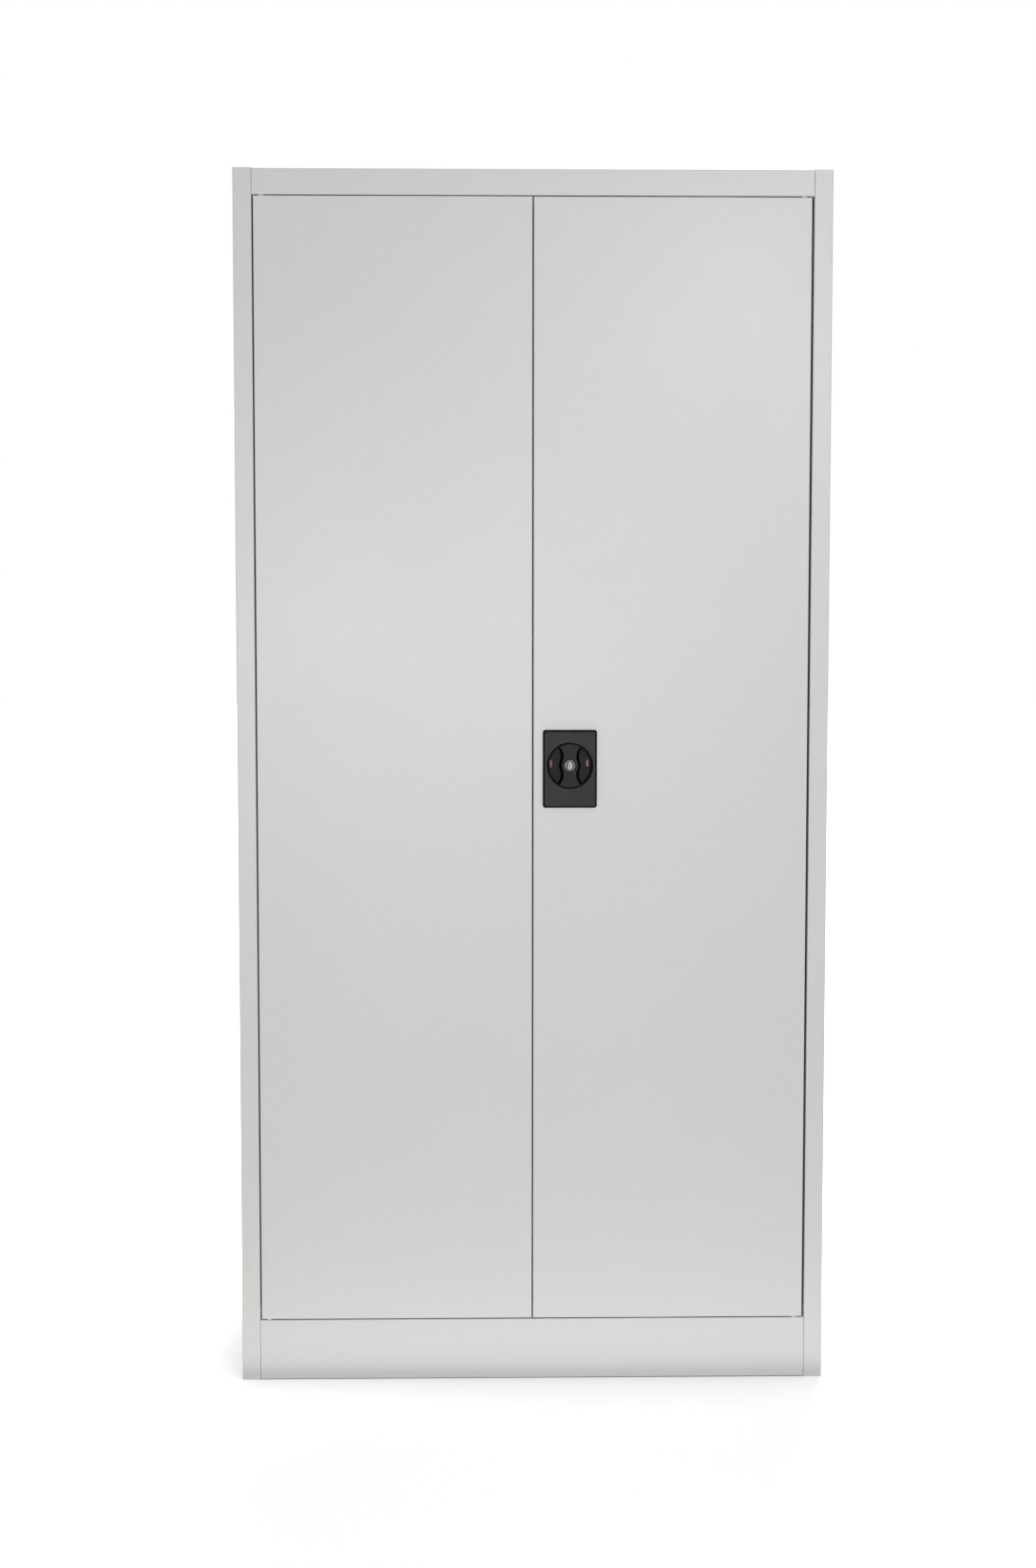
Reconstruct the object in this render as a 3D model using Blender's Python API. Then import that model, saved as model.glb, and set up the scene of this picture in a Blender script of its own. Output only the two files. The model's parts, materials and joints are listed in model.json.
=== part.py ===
"""Two-door steel storage cupboard with adjustable shelves and a three-point lock.

Metres, +Z up. The doors face -Y and +X is to the right of someone looking at them. The
origin lies on the floor, under the middle of the whole cupboard.
"""

import math

import bmesh
import bpy
from mathutils import Matrix, Vector

# Overall size
WIDTH = 0.900
DEPTH = 0.400
HEIGHT = 1.850

# Sheet metal and how its pieces meet
SHEET = 0.0008
FOLD_RADIUS = 0.0012
FOLD_STEPS = 2
SEAT = 0.0003
OVERRUN = 0.005

# Side panels, whose front folds are the stiles
STILE_WIDTH = 0.028
STILE_RETURN = 0.026
BACK_FLANGE = 0.018
END_FLANGE = 0.016
FLANGE_RELIEF = 0.004

# Header, plinth and floor between the stiles
RAIL_LIFT = 0.001
HEADER_HEIGHT = 0.0385
HEADER_LAP = 0.022
STOP_LIP = 0.012
CORNER_RELIEF = 0.030
PLINTH_HEIGHT = 0.093
PLINTH_LEDGE = 0.036
PLINTH_FOOT = 0.020
PLINTH_TURN = 0.012
FLOOR_STEP = 0.012
BACK_CLEARANCE = 0.012

# Doors and the gaps round them
DOOR_THICKNESS = 0.018
DOOR_LIP = 0.014
LEFT_GAP = 0.0021
RIGHT_GAP = 0.0033
CENTRE_GAP = 0.0018
TOP_GAP = 0.0014
BOTTOM_GAP = 0.0015

# Buffers that the closed doors rest on
BUFFER_HEIGHT = 0.003
BUFFER_RADIUS = 0.004
BUFFER_FROM_CENTRE = 0.200

# Hat channel that stiffens each door
HAT_WIDTH = 0.060
HAT_DEPTH = 0.0145
HAT_FLANGE = 0.016
HAT_END_GAP = 0.024

# Pivots
PIVOT_INSET = 0.0115
PIVOT_DEPTH = 0.0065
PIN_RADIUS = 0.0028
PIN_TIP_RADIUS = 0.0020
PIN_TIP_LENGTH = 0.006
PIN_IN_DOOR = 0.014
PIN_COLLAR_RADIUS = 0.0045
PIN_COLLAR_HEIGHT = 0.0015
BUSH_WALL = 0.0017
BUSH_COLLAR_RADIUS = 0.0055
BUSH_COLLAR_HEIGHT = 0.0012

# Slotted uprights, shelf clips and shelves
UPRIGHT_WIDTH = 0.026
UPRIGHT_DEPTH = 0.010
FRONT_UPRIGHT_SETBACK = 0.085
BACK_UPRIGHT_SETBACK = 0.075
SLOT_PITCH = 0.050
SLOT_END_MARGIN = 0.040
SLOT_WIDTH = 0.014
SLOT_HEIGHT = 0.003
CLIP_SHEET = 0.0016
CLIP_TONGUE = 0.006
CLIP_DROP = 0.014
CLIP_LEDGE = 0.016
CLIP_SLOT_PLAY = 0.0008
SHELF_COUNT = 4
SHELF_THICKNESS = 0.025
SHELF_LIP = 0.012
SHELF_SIDE_GAP = 0.001
SHELF_SETBACK = 0.045
SHELF_BACK_GAP = 0.004

# Lock plate with its cup
LOCK_INSET = 0.0556
LOCK_HEIGHT = 0.955
PLATE_WIDTH = 0.0825
PLATE_HEIGHT = 0.119
PLATE_BELOW_LOCK = 0.005
PLATE_PROUD = 0.006
PLATE_BEVEL = 0.003
PLATE_CORNER = 0.004
CUP_WALL = 0.003
CUP_DEPTH = 0.010
CUP_FLOOR = 0.0015
SCREW_FROM_CUP = 0.008
SCREW_RADIUS = 0.0015
SCREW_HEAD_RADIUS = 0.0035
SCREW_HEAD_HEIGHT = 0.002
SCREW_LENGTH = 0.0045

# Knob: a round dish with a waisted grip across it, which leaves a finger well on each side
KNOB_RADIUS = 0.0336
KNOB_RIM = 0.0007
KNOB_GAP = 0.0016
RIM_SUNK = 0.0002
GRIP_PROUD = 0.007
GRIP_CHAMFER = 0.0012
GRIP_SPREAD = 0.0025
GRIP_END_INSET = 0.0006
GRIP_WAIST = 0.0099
GRIP_WAIST_HEIGHT = 0.013
GRIP_BULGE = 0.0029
GRIP_FLARE = 0.0098
DISH_DEPTH = 0.008
DISH_CURVE = 0.0025
BOSS_RADIUS = 0.006
TENON_RADIUS = 0.004

# Key cylinder in the knob
BARREL_RADIUS = 0.00865
BARREL_WALL = 0.0023
BARREL_SUNK = 0.0004
BARREL_CHAMFER = 0.0004
BARREL_LENGTH = 0.0125
PLUG_SUNK = 0.0003
KEYHOLE_WIDTH = 0.0016
KEYHOLE_HEIGHT = 0.0075
KEYHOLE_DEPTH = 0.009

# Lock cam with its tongue, crank pins and screw
CAM_CLEARANCE = 0.0008
CAM_SHEET = 0.002
CAM_RADIUS = 0.0215
TONGUE_REACH = 0.064
TONGUE_WIDTH = 0.016
TONGUE_PLAY = 0.0008
CRANK_RADIUS = 0.016
CRANK_PIN_RADIUS = 0.0025
CRANK_TURN = math.radians(45)
CAM_SCREW_RADIUS = 0.0015
CAM_SCREW_HEAD_RADIUS = 0.0048
CAM_SCREW_HEAD_HEIGHT = 0.002
CAM_SCREW_LENGTH = 0.006

# Lock rods and their guides
ROD_CLEARANCE = 0.0006
ROD_SHEET = 0.0025
ROD_WALL = 0.0025
ROD_PLAY = 0.0006
ROD_LIFT_PLAY = 0.0008
ROD_TIP_CHAMFER = 0.004
ROD_HOLE_PLAY = 0.0009
GUIDE_SHEET = 0.001
GUIDE_HEIGHT = 0.020
GUIDE_FOOT = 0.012
GUIDE_FROM_DOOR_END = 0.300

# Fineness of round shapes, in segments
FINE_ROUND = 48
SMALL_ROUND = 16
CORNER_STEPS = 4
DISH_STEPS = 4
GRIP_STEPS = 10
SMOOTH_ANGLE = math.radians(35)

# Levels and planes that several pieces share
HALF_SHEET = SHEET / 2
FRONT = (GRIP_PROUD - DEPTH) / 2
BACK = FRONT + DEPTH
WALL_INSIDE = WIDTH / 2 - SHEET
STILE_EDGE = WIDTH / 2 - STILE_WIDTH
HEADER_TOP = HEIGHT - RAIL_LIFT
HEADER_BOTTOM = HEADER_TOP - HEADER_HEIGHT
PLINTH_TOP = RAIL_LIFT + PLINTH_HEIGHT
FLOOR_TOP = PLINTH_TOP + FLOOR_STEP
DOOR_TOP = HEADER_BOTTOM - TOP_GAP
DOOR_BOTTOM = PLINTH_TOP + BOTTOM_GAP
DOOR_WIDTH = (2 * STILE_EDGE - LEFT_GAP - CENTRE_GAP - RIGHT_GAP) / 2
LEFT_DOOR_OUTER = -STILE_EDGE + LEFT_GAP
LEFT_DOOR_CLOSING = LEFT_DOOR_OUTER + DOOR_WIDTH
RIGHT_DOOR_CLOSING = LEFT_DOOR_CLOSING + CENTRE_GAP
RIGHT_DOOR_OUTER = RIGHT_DOOR_CLOSING + DOOR_WIDTH
PIVOT_Y = FRONT + PIVOT_DEPTH
LEFT_PIVOT_X = LEFT_DOOR_OUTER + PIVOT_INSET
RIGHT_PIVOT_X = RIGHT_DOOR_OUTER - PIVOT_INSET
STOP_FACE = FRONT + DOOR_THICKNESS + BUFFER_HEIGHT + 2 * SEAT
TOP_PANEL_TOP = HEADER_TOP - SHEET - SEAT
TOP_PANEL_BOTTOM = TOP_PANEL_TOP - SHEET
TOP_FLANGE_TOP = TOP_PANEL_BOTTOM - SEAT
BACK_PANEL_FACE = BACK - SEAT - 2 * SHEET
BUSH_RADIUS = PIN_TIP_RADIUS + SEAT + BUSH_WALL
LOCK_X = RIGHT_DOOR_CLOSING + LOCK_INSET
CUP_BORE = KNOB_RADIUS + KNOB_GAP
CUP_RADIUS = CUP_BORE + CUP_WALL
KNOB_FACE = FRONT - PLATE_PROUD + RIM_SUNK
KNOB_BACK = FRONT + CUP_DEPTH - CUP_FLOOR - SEAT
DISH_FLOOR = KNOB_FACE + DISH_DEPTH
DISH_EDGE = KNOB_RADIUS - KNOB_RIM
CAM_FACE = FRONT + CUP_DEPTH + CAM_CLEARANCE
ROD_FACE = CAM_FACE + CAM_SHEET + ROD_CLEARANCE
CRANK_SIDE = CRANK_RADIUS * math.cos(CRANK_TURN)
CRANK_RISE = CRANK_RADIUS * math.sin(CRANK_TURN)
ROD_OFFSET = (CRANK_RADIUS + CRANK_SIDE) / 2
ROD_SLOT_LENGTH = CRANK_RADIUS - CRANK_SIDE + 2 * (CRANK_PIN_RADIUS + ROD_PLAY)
ROD_WIDTH = ROD_SLOT_LENGTH + 2 * ROD_WALL
UPRIGHT_FOOT = FLOOR_TOP + SEAT
UPRIGHT_HEAD = TOP_FLANGE_TOP - SHEET - SEAT
UPRIGHT_FACE = WALL_INSIDE - SEAT - UPRIGHT_DEPTH
FRONT_UPRIGHT_Y = FRONT + FRONT_UPRIGHT_SETBACK
BACK_UPRIGHT_Y = BACK - BACK_UPRIGHT_SETBACK


# Finishes

def finish(name, colour, roughness, metallic):
    """A Principled BSDF material with one colour."""
    material = bpy.data.materials.new(name)
    material.use_nodes = True
    shader = material.node_tree.nodes["Principled BSDF"]
    shader.inputs["Base Color"].default_value = (*colour, 1)
    shader.inputs["Roughness"].default_value = roughness
    shader.inputs["Metallic"].default_value = metallic
    return material


def powder_coat():
    return finish("light_grey_powder_coat", (0.62, 0.62, 0.60), 0.45, 0.0)


def black_plastic():
    return finish("black_plastic", (0.035, 0.035, 0.037), 0.5, 0.0)


def chrome():
    return finish("chrome", (0.62, 0.62, 0.63), 0.15, 1.0)


def zinc_steel():
    return finish("zinc_plated_steel", (0.55, 0.56, 0.58), 0.35, 1.0)


def white_nylon():
    return finish("white_nylon", (0.75, 0.74, 0.70), 0.45, 0.0)


def grey_rubber():
    return finish("grey_rubber", (0.12, 0.12, 0.12), 0.8, 0.0)


# Meshes

def add_loft(bm, rings, looped=False):
    """Joins rings of points with faces: capped at both ends, or looped back to the first ring."""
    made = [[bm.verts.new(point) for point in ring] for ring in rings]
    pairs = list(zip(made, made[1:]))
    if looped:
        pairs.append((made[-1], made[0]))
    else:
        bm.faces.new(made[0])
        bm.faces.new(made[-1])
    count = len(made[0])
    for lower, upper in pairs:
        for i in range(count):
            j = (i + 1) % count
            bm.faces.new((lower[i], lower[j], upper[j], upper[i]))


def along_x(u, v, level):
    return (level, u, v)


def along_y(u, v, level):
    return (u, level, v)


def along_z(u, v, level):
    return (u, v, level)


def add_prism(bm, outline, low, high, along=along_z):
    """A flat outline drawn straight from one level to another."""
    add_loft(bm, [[along(u, v, level) for u, v in outline] for level in (low, high)])


def add_box(bm, low, high):
    x0, y0, z0 = low
    x1, y1, z1 = high
    add_prism(bm, [(x0, y0), (x1, y0), (x1, y1), (x0, y1)], z0, z1)


def circle(radius, segments, centre=(0, 0)):
    turns = [2 * math.pi * i / segments for i in range(segments)]
    return [
        (centre[0] + radius * math.cos(turn), centre[1] + radius * math.sin(turn))
        for turn in turns
    ]


def add_cylinder(bm, centre, radius, low, high, along=along_z, segments=SMALL_ROUND):
    add_prism(bm, circle(radius, segments, centre), low, high, along)


def add_turned(bm, profile, centre=(0, 0), along=along_z, segments=SMALL_ROUND, looped=False):
    """Turns a profile of (radius, level) points about the line through the centre."""
    rings = [
        [along(u, v, level) for u, v in circle(radius, segments, centre)]
        for radius, level in profile
    ]
    add_loft(bm, rings, looped)


def heading(start, end):
    return math.atan2(end[1] - start[1], end[0] - start[0])


def beside(point, direction, distance):
    """The point at this distance to the left of a point that faces the direction."""
    return (
        point[0] - distance * math.sin(direction),
        point[1] + distance * math.cos(direction),
    )


def folded_sheet(path, thickness=SHEET, radius=FOLD_RADIUS):
    """Outline of a folded sheet whose middle follows the path, as its left and right sides."""
    stations = [(path[0], heading(path[0], path[1]))]
    for before, corner, after in zip(path, path[1:], path[2:]):
        arriving = heading(before, corner)
        leaving = heading(corner, after)
        turn = (leaving - arriving + math.pi) % (2 * math.pi) - math.pi
        reach = radius * math.tan(abs(turn) / 2)
        side = math.copysign(radius, turn)
        start = (
            corner[0] - reach * math.cos(arriving),
            corner[1] - reach * math.sin(arriving),
        )
        centre = beside(start, arriving, side)
        for step in range(FOLD_STEPS + 1):
            facing = arriving + turn * step / FOLD_STEPS
            stations.append((beside(centre, facing, -side), facing))
    stations.append((path[-1], heading(path[-2], path[-1])))
    left = [beside(point, facing, thickness / 2) for point, facing in stations]
    right = [beside(point, facing, -thickness / 2) for point, facing in stations]
    return left, right


def add_folded_strip(bm, path, low, high, along=along_z, thickness=SHEET):
    left, right = folded_sheet(path, thickness)
    add_prism(bm, left + right[::-1], low, high, along)


def add_tray(bm, width, height, depth, lip, along, face, inward):
    """A sheet with all four edges folded back, and turned in again where it has a lip.

    The face lies at the level called face, and the edges go inward from it, +1 or -1 times
    the level's axis. The outline is centred on zero.
    """
    path = [(2 * FOLD_RADIUS, HALF_SHEET), (HALF_SHEET, HALF_SHEET)]
    if lip:
        path += [(HALF_SHEET, depth - HALF_SHEET), (lip, depth - HALF_SHEET)]
    else:
        path += [(HALF_SHEET, depth)]
    outer, inner = folded_sheet(path)
    corner_signs = ((-1, -1), (1, -1), (1, 1), (-1, 1))
    rings = [
        [
            along(
                across * (width / 2 - inset),
                up * (height / 2 - inset),
                face + inward * level,
            )
            for across, up in corner_signs
        ]
        for inset, level in outer + inner[::-1]
    ]
    add_loft(bm, rings)


# Objects

def finish_mesh(name, bm, material=None):
    """Makes mesh data of the bmesh, with its faces turned outwards."""
    bmesh.ops.recalc_face_normals(bm, faces=bm.faces)
    mesh = bpy.data.meshes.new(name)
    bm.to_mesh(mesh)
    bm.free()
    if material:
        mesh.materials.append(material)
    return mesh


def new_object(name, bm, material=None, location=(0, 0, 0), pivot=None):
    """Makes an object of the bmesh. It rides on the pivot, an empty, if there is one."""
    return link(name, finish_mesh(name, bm, material), location, pivot)


def link(name, mesh, location=(0, 0, 0), pivot=None):
    obj = bpy.data.objects.new(name, mesh)
    bpy.context.collection.objects.link(obj)
    obj.location = location
    if pivot:
        obj.parent = pivot
        obj.matrix_parent_inverse = Matrix.Translation(-pivot.location)
    return obj


def new_pivot(name, location):
    empty = bpy.data.objects.new(name, None)
    bpy.context.collection.objects.link(empty)
    empty.location = location
    return empty


def shade_round(obj):
    obj.data.shade_smooth()
    obj.data.set_sharp_from_angle(angle=SMOOTH_ANGLE)


def combine(obj, bm, operation):
    """Cuts the mesh from the object, or joins it to the object."""
    other = new_object(f"{obj.name}_{operation.lower()}", bm)
    other.parent = obj.parent
    other.matrix_parent_inverse = obj.matrix_parent_inverse
    other.location = obj.location
    other.hide_render = True
    other.display_type = "WIRE"
    modifier = obj.modifiers.new(operation.title(), "BOOLEAN")
    modifier.operation = operation
    modifier.solver = "EXACT"
    modifier.object = other


# Carcass

def make_side_panel(name, side, paint):
    """Stile, wall and back flange in one folded sheet, with flanges at the foot and the top."""
    edge = STILE_EDGE + HALF_SHEET
    wall = WIDTH / 2 - HALF_SHEET
    path = [
        (side * edge, FRONT + STILE_RETURN),
        (side * edge, FRONT + HALF_SHEET),
        (side * wall, FRONT + HALF_SHEET),
        (side * wall, BACK - HALF_SHEET),
        (side * (WIDTH / 2 - BACK_FLANGE), BACK - HALF_SHEET),
    ]
    bm = bmesh.new()
    add_folded_strip(bm, path, 0, HEIGHT)
    panel = new_object(name, bm, paint)
    flanges = bmesh.new()
    ends = sorted((side * wall, side * (WIDTH / 2 - END_FLANGE)))
    front = FRONT + STILE_RETURN + FLANGE_RELIEF
    back = BACK - BACK_FLANGE - FLANGE_RELIEF
    add_box(flanges, (ends[0], front, 0), (ends[1], back, SHEET))
    add_box(flanges, (ends[0], front, TOP_FLANGE_TOP - SHEET), (ends[1], back, TOP_FLANGE_TOP))
    combine(panel, flanges, "UNION")


def make_back_panel(paint):
    half = WALL_INSIDE - SEAT
    bm = bmesh.new()
    add_box(
        bm,
        (-half, BACK_PANEL_FACE, BACK_CLEARANCE),
        (half, BACK_PANEL_FACE + SHEET, TOP_PANEL_TOP),
    )
    new_object("back_panel", bm, paint)


def make_top_panel(paint):
    """Sheet on the side panels' top flanges, slotted where the stiles' returns pass."""
    half = WALL_INSIDE - SEAT
    bm = bmesh.new()
    add_box(
        bm,
        (-half, FRONT + SHEET + SEAT, TOP_PANEL_BOTTOM),
        (half, BACK_PANEL_FACE - SEAT, TOP_PANEL_TOP),
    )
    panel = new_object("top_panel", bm, paint)
    slots = bmesh.new()
    for side in (-1, 1):
        ends = sorted((side * (STILE_EDGE - SEAT), side * (STILE_EDGE + SHEET + SEAT)))
        add_box(
            slots,
            (ends[0], FRONT, TOP_PANEL_BOTTOM - OVERRUN),
            (ends[1], FRONT + STILE_RETURN + SEAT, TOP_PANEL_TOP + OVERRUN),
        )
    combine(panel, slots, "DIFFERENCE")


def add_pivot_holes(bm, level):
    for x in (LEFT_PIVOT_X, RIGHT_PIVOT_X):
        add_cylinder(bm, (x, PIVOT_Y), BUSH_RADIUS + SEAT, level - OVERRUN, level + OVERRUN)


def add_rod_hole(bm, side, level):
    """Hole for the end of a lock rod, on this side of the lock."""
    x = LOCK_X + side * ROD_OFFSET
    half = ROD_WIDTH / 2 + ROD_HOLE_PLAY
    add_box(
        bm,
        (x - half, ROD_FACE - ROD_HOLE_PLAY, level - OVERRUN),
        (x + half, ROD_FACE + ROD_SHEET + ROD_HOLE_PLAY, level + OVERRUN),
    )


def make_header_rail(paint):
    """Channel over the doors, whose last fold is the stop that they close against."""
    top = HEADER_TOP - HALF_SHEET
    bottom = HEADER_BOTTOM + HALF_SHEET
    stop = STOP_FACE + HALF_SHEET
    path = [
        (FRONT + HEADER_LAP, top),
        (FRONT + HALF_SHEET, top),
        (FRONT + HALF_SHEET, bottom),
        (stop, bottom),
        (stop, HEADER_BOTTOM - STOP_LIP),
    ]
    half = STILE_EDGE - SEAT
    bm = bmesh.new()
    add_folded_strip(bm, path, -half, half, along_x)
    rail = new_object("header_rail", bm, paint)
    holes = bmesh.new()
    add_pivot_holes(holes, HEADER_BOTTOM)
    add_rod_hole(holes, -1, HEADER_BOTTOM)
    for side in (-1, 1):
        ends = sorted((side * (STILE_EDGE + OVERRUN), side * (STILE_EDGE - CORNER_RELIEF)))
        add_box(
            holes,
            (ends[0], FRONT + DOOR_THICKNESS, HEADER_BOTTOM - STOP_LIP - OVERRUN),
            (ends[1], STOP_FACE + OVERRUN, HEADER_BOTTOM + OVERRUN),
        )
    combine(rail, holes, "DIFFERENCE")


def make_plinth(paint):
    """Channel under the doors, with a ledge that carries the lower pivots and the floor."""
    bottom = RAIL_LIFT + HALF_SHEET
    top = PLINTH_TOP - HALF_SHEET
    path = [
        (FRONT + PLINTH_FOOT, bottom),
        (FRONT + HALF_SHEET, bottom),
        (FRONT + HALF_SHEET, top),
        (FRONT + PLINTH_LEDGE, top),
        (FRONT + PLINTH_LEDGE, PLINTH_TOP - PLINTH_TURN),
    ]
    half = STILE_EDGE - SEAT
    bm = bmesh.new()
    add_folded_strip(bm, path, -half, half, along_x)
    plinth = new_object("plinth", bm, paint)
    holes = bmesh.new()
    add_pivot_holes(holes, PLINTH_TOP)
    add_rod_hole(holes, 1, PLINTH_TOP)
    combine(plinth, holes, "DIFFERENCE")


def make_floor_panel(paint):
    """Tray whose front edge is the lower door stop, cut back at the stiles and the hinges."""
    back = BACK_PANEL_FACE - SEAT
    bm = bmesh.new()
    add_tray(
        bm, 2 * (WALL_INSIDE - SEAT), back - STOP_FACE, FLOOR_STEP - SEAT, 0, along_z, FLOOR_TOP, -1
    )
    bmesh.ops.translate(bm, vec=(0, (STOP_FACE + back) / 2, 0), verts=bm.verts)
    panel = new_object("floor_panel", bm, paint)
    corners = bmesh.new()
    for side in (-1, 1):
        ends = sorted((side * (WIDTH / 2 + OVERRUN), side * (STILE_EDGE - CORNER_RELIEF)))
        add_box(
            corners,
            (ends[0], STOP_FACE - OVERRUN, PLINTH_TOP - OVERRUN),
            (ends[1], FRONT + STILE_RETURN + FLANGE_RELIEF, FLOOR_TOP + OVERRUN),
        )
    combine(panel, corners, "DIFFERENCE")


# Uprights, clips and shelves

def slot_heights():
    """Middle height of each slot in an upright."""
    room = UPRIGHT_HEAD - UPRIGHT_FOOT - 2 * SLOT_END_MARGIN
    count = int(room / SLOT_PITCH) + 1
    return [UPRIGHT_FOOT + SLOT_END_MARGIN + i * SLOT_PITCH for i in range(count)]


def make_upright(name, side, y, zinc):
    """Channel against the side wall, with a slot for a clip at every step of the pitch."""
    wall = side * (WALL_INSIDE - SEAT)
    web = side * (UPRIGHT_FACE + HALF_SHEET)
    leg = UPRIGHT_WIDTH / 2 - HALF_SHEET
    path = [(wall, -leg), (web, -leg), (web, leg), (wall, leg)]
    bm = bmesh.new()
    add_folded_strip(bm, path, UPRIGHT_FOOT, UPRIGHT_HEAD)
    upright = new_object(name, bm, zinc, (0, y, 0))
    slots = bmesh.new()
    ends = sorted((side * (UPRIGHT_FACE - OVERRUN), side * (UPRIGHT_FACE + UPRIGHT_DEPTH / 2)))
    for z in slot_heights():
        add_box(
            slots,
            (ends[0], -SLOT_WIDTH / 2, z - SLOT_HEIGHT / 2),
            (ends[1], SLOT_WIDTH / 2, z + SLOT_HEIGHT / 2),
        )
    combine(upright, slots, "DIFFERENCE")


def clip_mesh(name, side, zinc):
    """Z-shaped clip: a tongue in the slot, a leg down the upright and a ledge for the shelf."""
    tongue_rise = -SLOT_HEIGHT / 2 + SEAT + CLIP_SHEET / 2
    leg = -SEAT - CLIP_SHEET / 2
    path = [
        (side * CLIP_TONGUE, tongue_rise),
        (side * leg, tongue_rise),
        (side * leg, tongue_rise - CLIP_DROP),
        (side * (leg - CLIP_LEDGE), tongue_rise - CLIP_DROP),
    ]
    half = SLOT_WIDTH / 2 - CLIP_SLOT_PLAY
    bm = bmesh.new()
    add_folded_strip(bm, path, -half, half, along_y, CLIP_SHEET)
    return finish_mesh(name, bm, zinc)


def shelf_top(slot_height):
    """Top of a shelf whose clips hang in the slots at this height."""
    ledge = slot_height - SLOT_HEIGHT / 2 + SEAT + CLIP_SHEET - CLIP_DROP
    return ledge + SEAT + SHELF_THICKNESS


def make_shelf(number, slot_height, clips, paint):
    """A shelf with all its edges folded under, and the four clips that carry it."""
    half = UPRIGHT_FACE - SEAT - CLIP_SHEET - SHELF_SIDE_GAP
    front = FRONT + SHELF_SETBACK
    back = BACK_PANEL_FACE - SHELF_BACK_GAP
    bm = bmesh.new()
    add_tray(bm, 2 * half, back - front, SHELF_THICKNESS, SHELF_LIP, along_z, 0, -1)
    place = (0, (front + back) / 2, shelf_top(slot_height))
    new_object(f"shelf_{number}", bm, paint, place)
    for side, side_name in ((-1, "left"), (1, "right")):
        for y, row in ((FRONT_UPRIGHT_Y, "front"), (BACK_UPRIGHT_Y, "back")):
            name = f"shelf_{number}_clip_{row}_{side_name}"
            link(name, clips[side], (side * UPRIGHT_FACE, y, slot_height))


# Doors

def make_door(name, outer_x, closing_x, paint, pivot):
    """Folded pan with pivot holes at its outer edge and a slot for the tongue in its closing edge."""
    middle = ((outer_x + closing_x) / 2, 0, (DOOR_TOP + DOOR_BOTTOM) / 2)
    bm = bmesh.new()
    add_tray(bm, DOOR_WIDTH, DOOR_TOP - DOOR_BOTTOM, DOOR_THICKNESS, DOOR_LIP, along_y, FRONT, 1)
    bmesh.ops.translate(bm, vec=middle, verts=bm.verts)
    door = new_object(name, bm, paint, pivot=pivot)
    holes = bmesh.new()
    for level in (DOOR_TOP, DOOR_BOTTOM):
        centre = (pivot.location.x, PIVOT_Y)
        add_cylinder(holes, centre, PIN_RADIUS + SEAT, level - OVERRUN, level + OVERRUN)
    crossing = math.sqrt(TONGUE_REACH**2 - (LOCK_INSET - SHEET) ** 2)
    add_box(
        holes,
        (closing_x - OVERRUN, CAM_FACE - TONGUE_PLAY, LOCK_HEIGHT - crossing - TONGUE_PLAY),
        (
            closing_x + OVERRUN,
            CAM_FACE + CAM_SHEET + TONGUE_PLAY,
            LOCK_HEIGHT + TONGUE_WIDTH / 2 + TONGUE_PLAY,
        ),
    )
    return door, holes


def make_left_door(paint, pivot):
    door, holes = make_door("door_left", LEFT_DOOR_OUTER, LEFT_DOOR_CLOSING, paint, pivot)
    combine(door, holes, "DIFFERENCE")


def make_right_door(paint, pivot):
    door, holes = make_door("door_right", RIGHT_DOOR_OUTER, RIGHT_DOOR_CLOSING, paint, pivot)
    add_rod_hole(holes, -1, DOOR_TOP)
    add_rod_hole(holes, 1, DOOR_BOTTOM)
    centre = (LOCK_X, LOCK_HEIGHT)
    low = FRONT - OVERRUN
    high = FRONT + OVERRUN
    add_cylinder(holes, centre, CUP_RADIUS + SEAT, low, high, along_y, FINE_ROUND)
    for z in plate_screw_heights():
        add_cylinder(holes, (LOCK_X, z), SCREW_RADIUS + SEAT, low, high, along_y)
    combine(door, holes, "DIFFERENCE")


def make_stiffener(name, outer_x, closing_x, paint, pivot):
    """Hat channel down the middle of a door, its flanges against the back of the door's face."""
    middle = (outer_x + closing_x) / 2
    foot = FRONT + SHEET + SEAT + HALF_SHEET
    web = foot + HAT_DEPTH
    half = HAT_WIDTH / 2
    path = [
        (middle - half, foot),
        (middle - half + HAT_FLANGE, foot),
        (middle - half + HAT_FLANGE, web),
        (middle + half - HAT_FLANGE, web),
        (middle + half - HAT_FLANGE, foot),
        (middle + half, foot),
    ]
    bm = bmesh.new()
    add_folded_strip(bm, path, DOOR_BOTTOM + HAT_END_GAP, DOOR_TOP - HAT_END_GAP)
    new_object(name, bm, paint, pivot=pivot)


def make_buffer(name, x, z, rubber):
    """Round pad on a door stop."""
    face = STOP_FACE - SEAT
    bm = bmesh.new()
    add_cylinder(bm, (x, z), BUFFER_RADIUS, face - BUFFER_HEIGHT, face, along_y)
    shade_round(new_object(name, bm, rubber))


# Pivots

def pin_mesh(zinc):
    """Pivot pin, its shoulder at zero: a thin tip above, the stem with its collar below."""
    collar_top = -(TOP_GAP - SEAT) - SHEET - SEAT
    profile = [
        (PIN_RADIUS, -PIN_IN_DOOR),
        (PIN_RADIUS, collar_top - PIN_COLLAR_HEIGHT),
        (PIN_COLLAR_RADIUS, collar_top - PIN_COLLAR_HEIGHT),
        (PIN_COLLAR_RADIUS, collar_top),
        (PIN_RADIUS, collar_top),
        (PIN_RADIUS, 0),
        (PIN_TIP_RADIUS, 0),
        (PIN_TIP_RADIUS, PIN_TIP_LENGTH),
    ]
    return turned_mesh("pivot_pin", profile, zinc)


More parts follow.
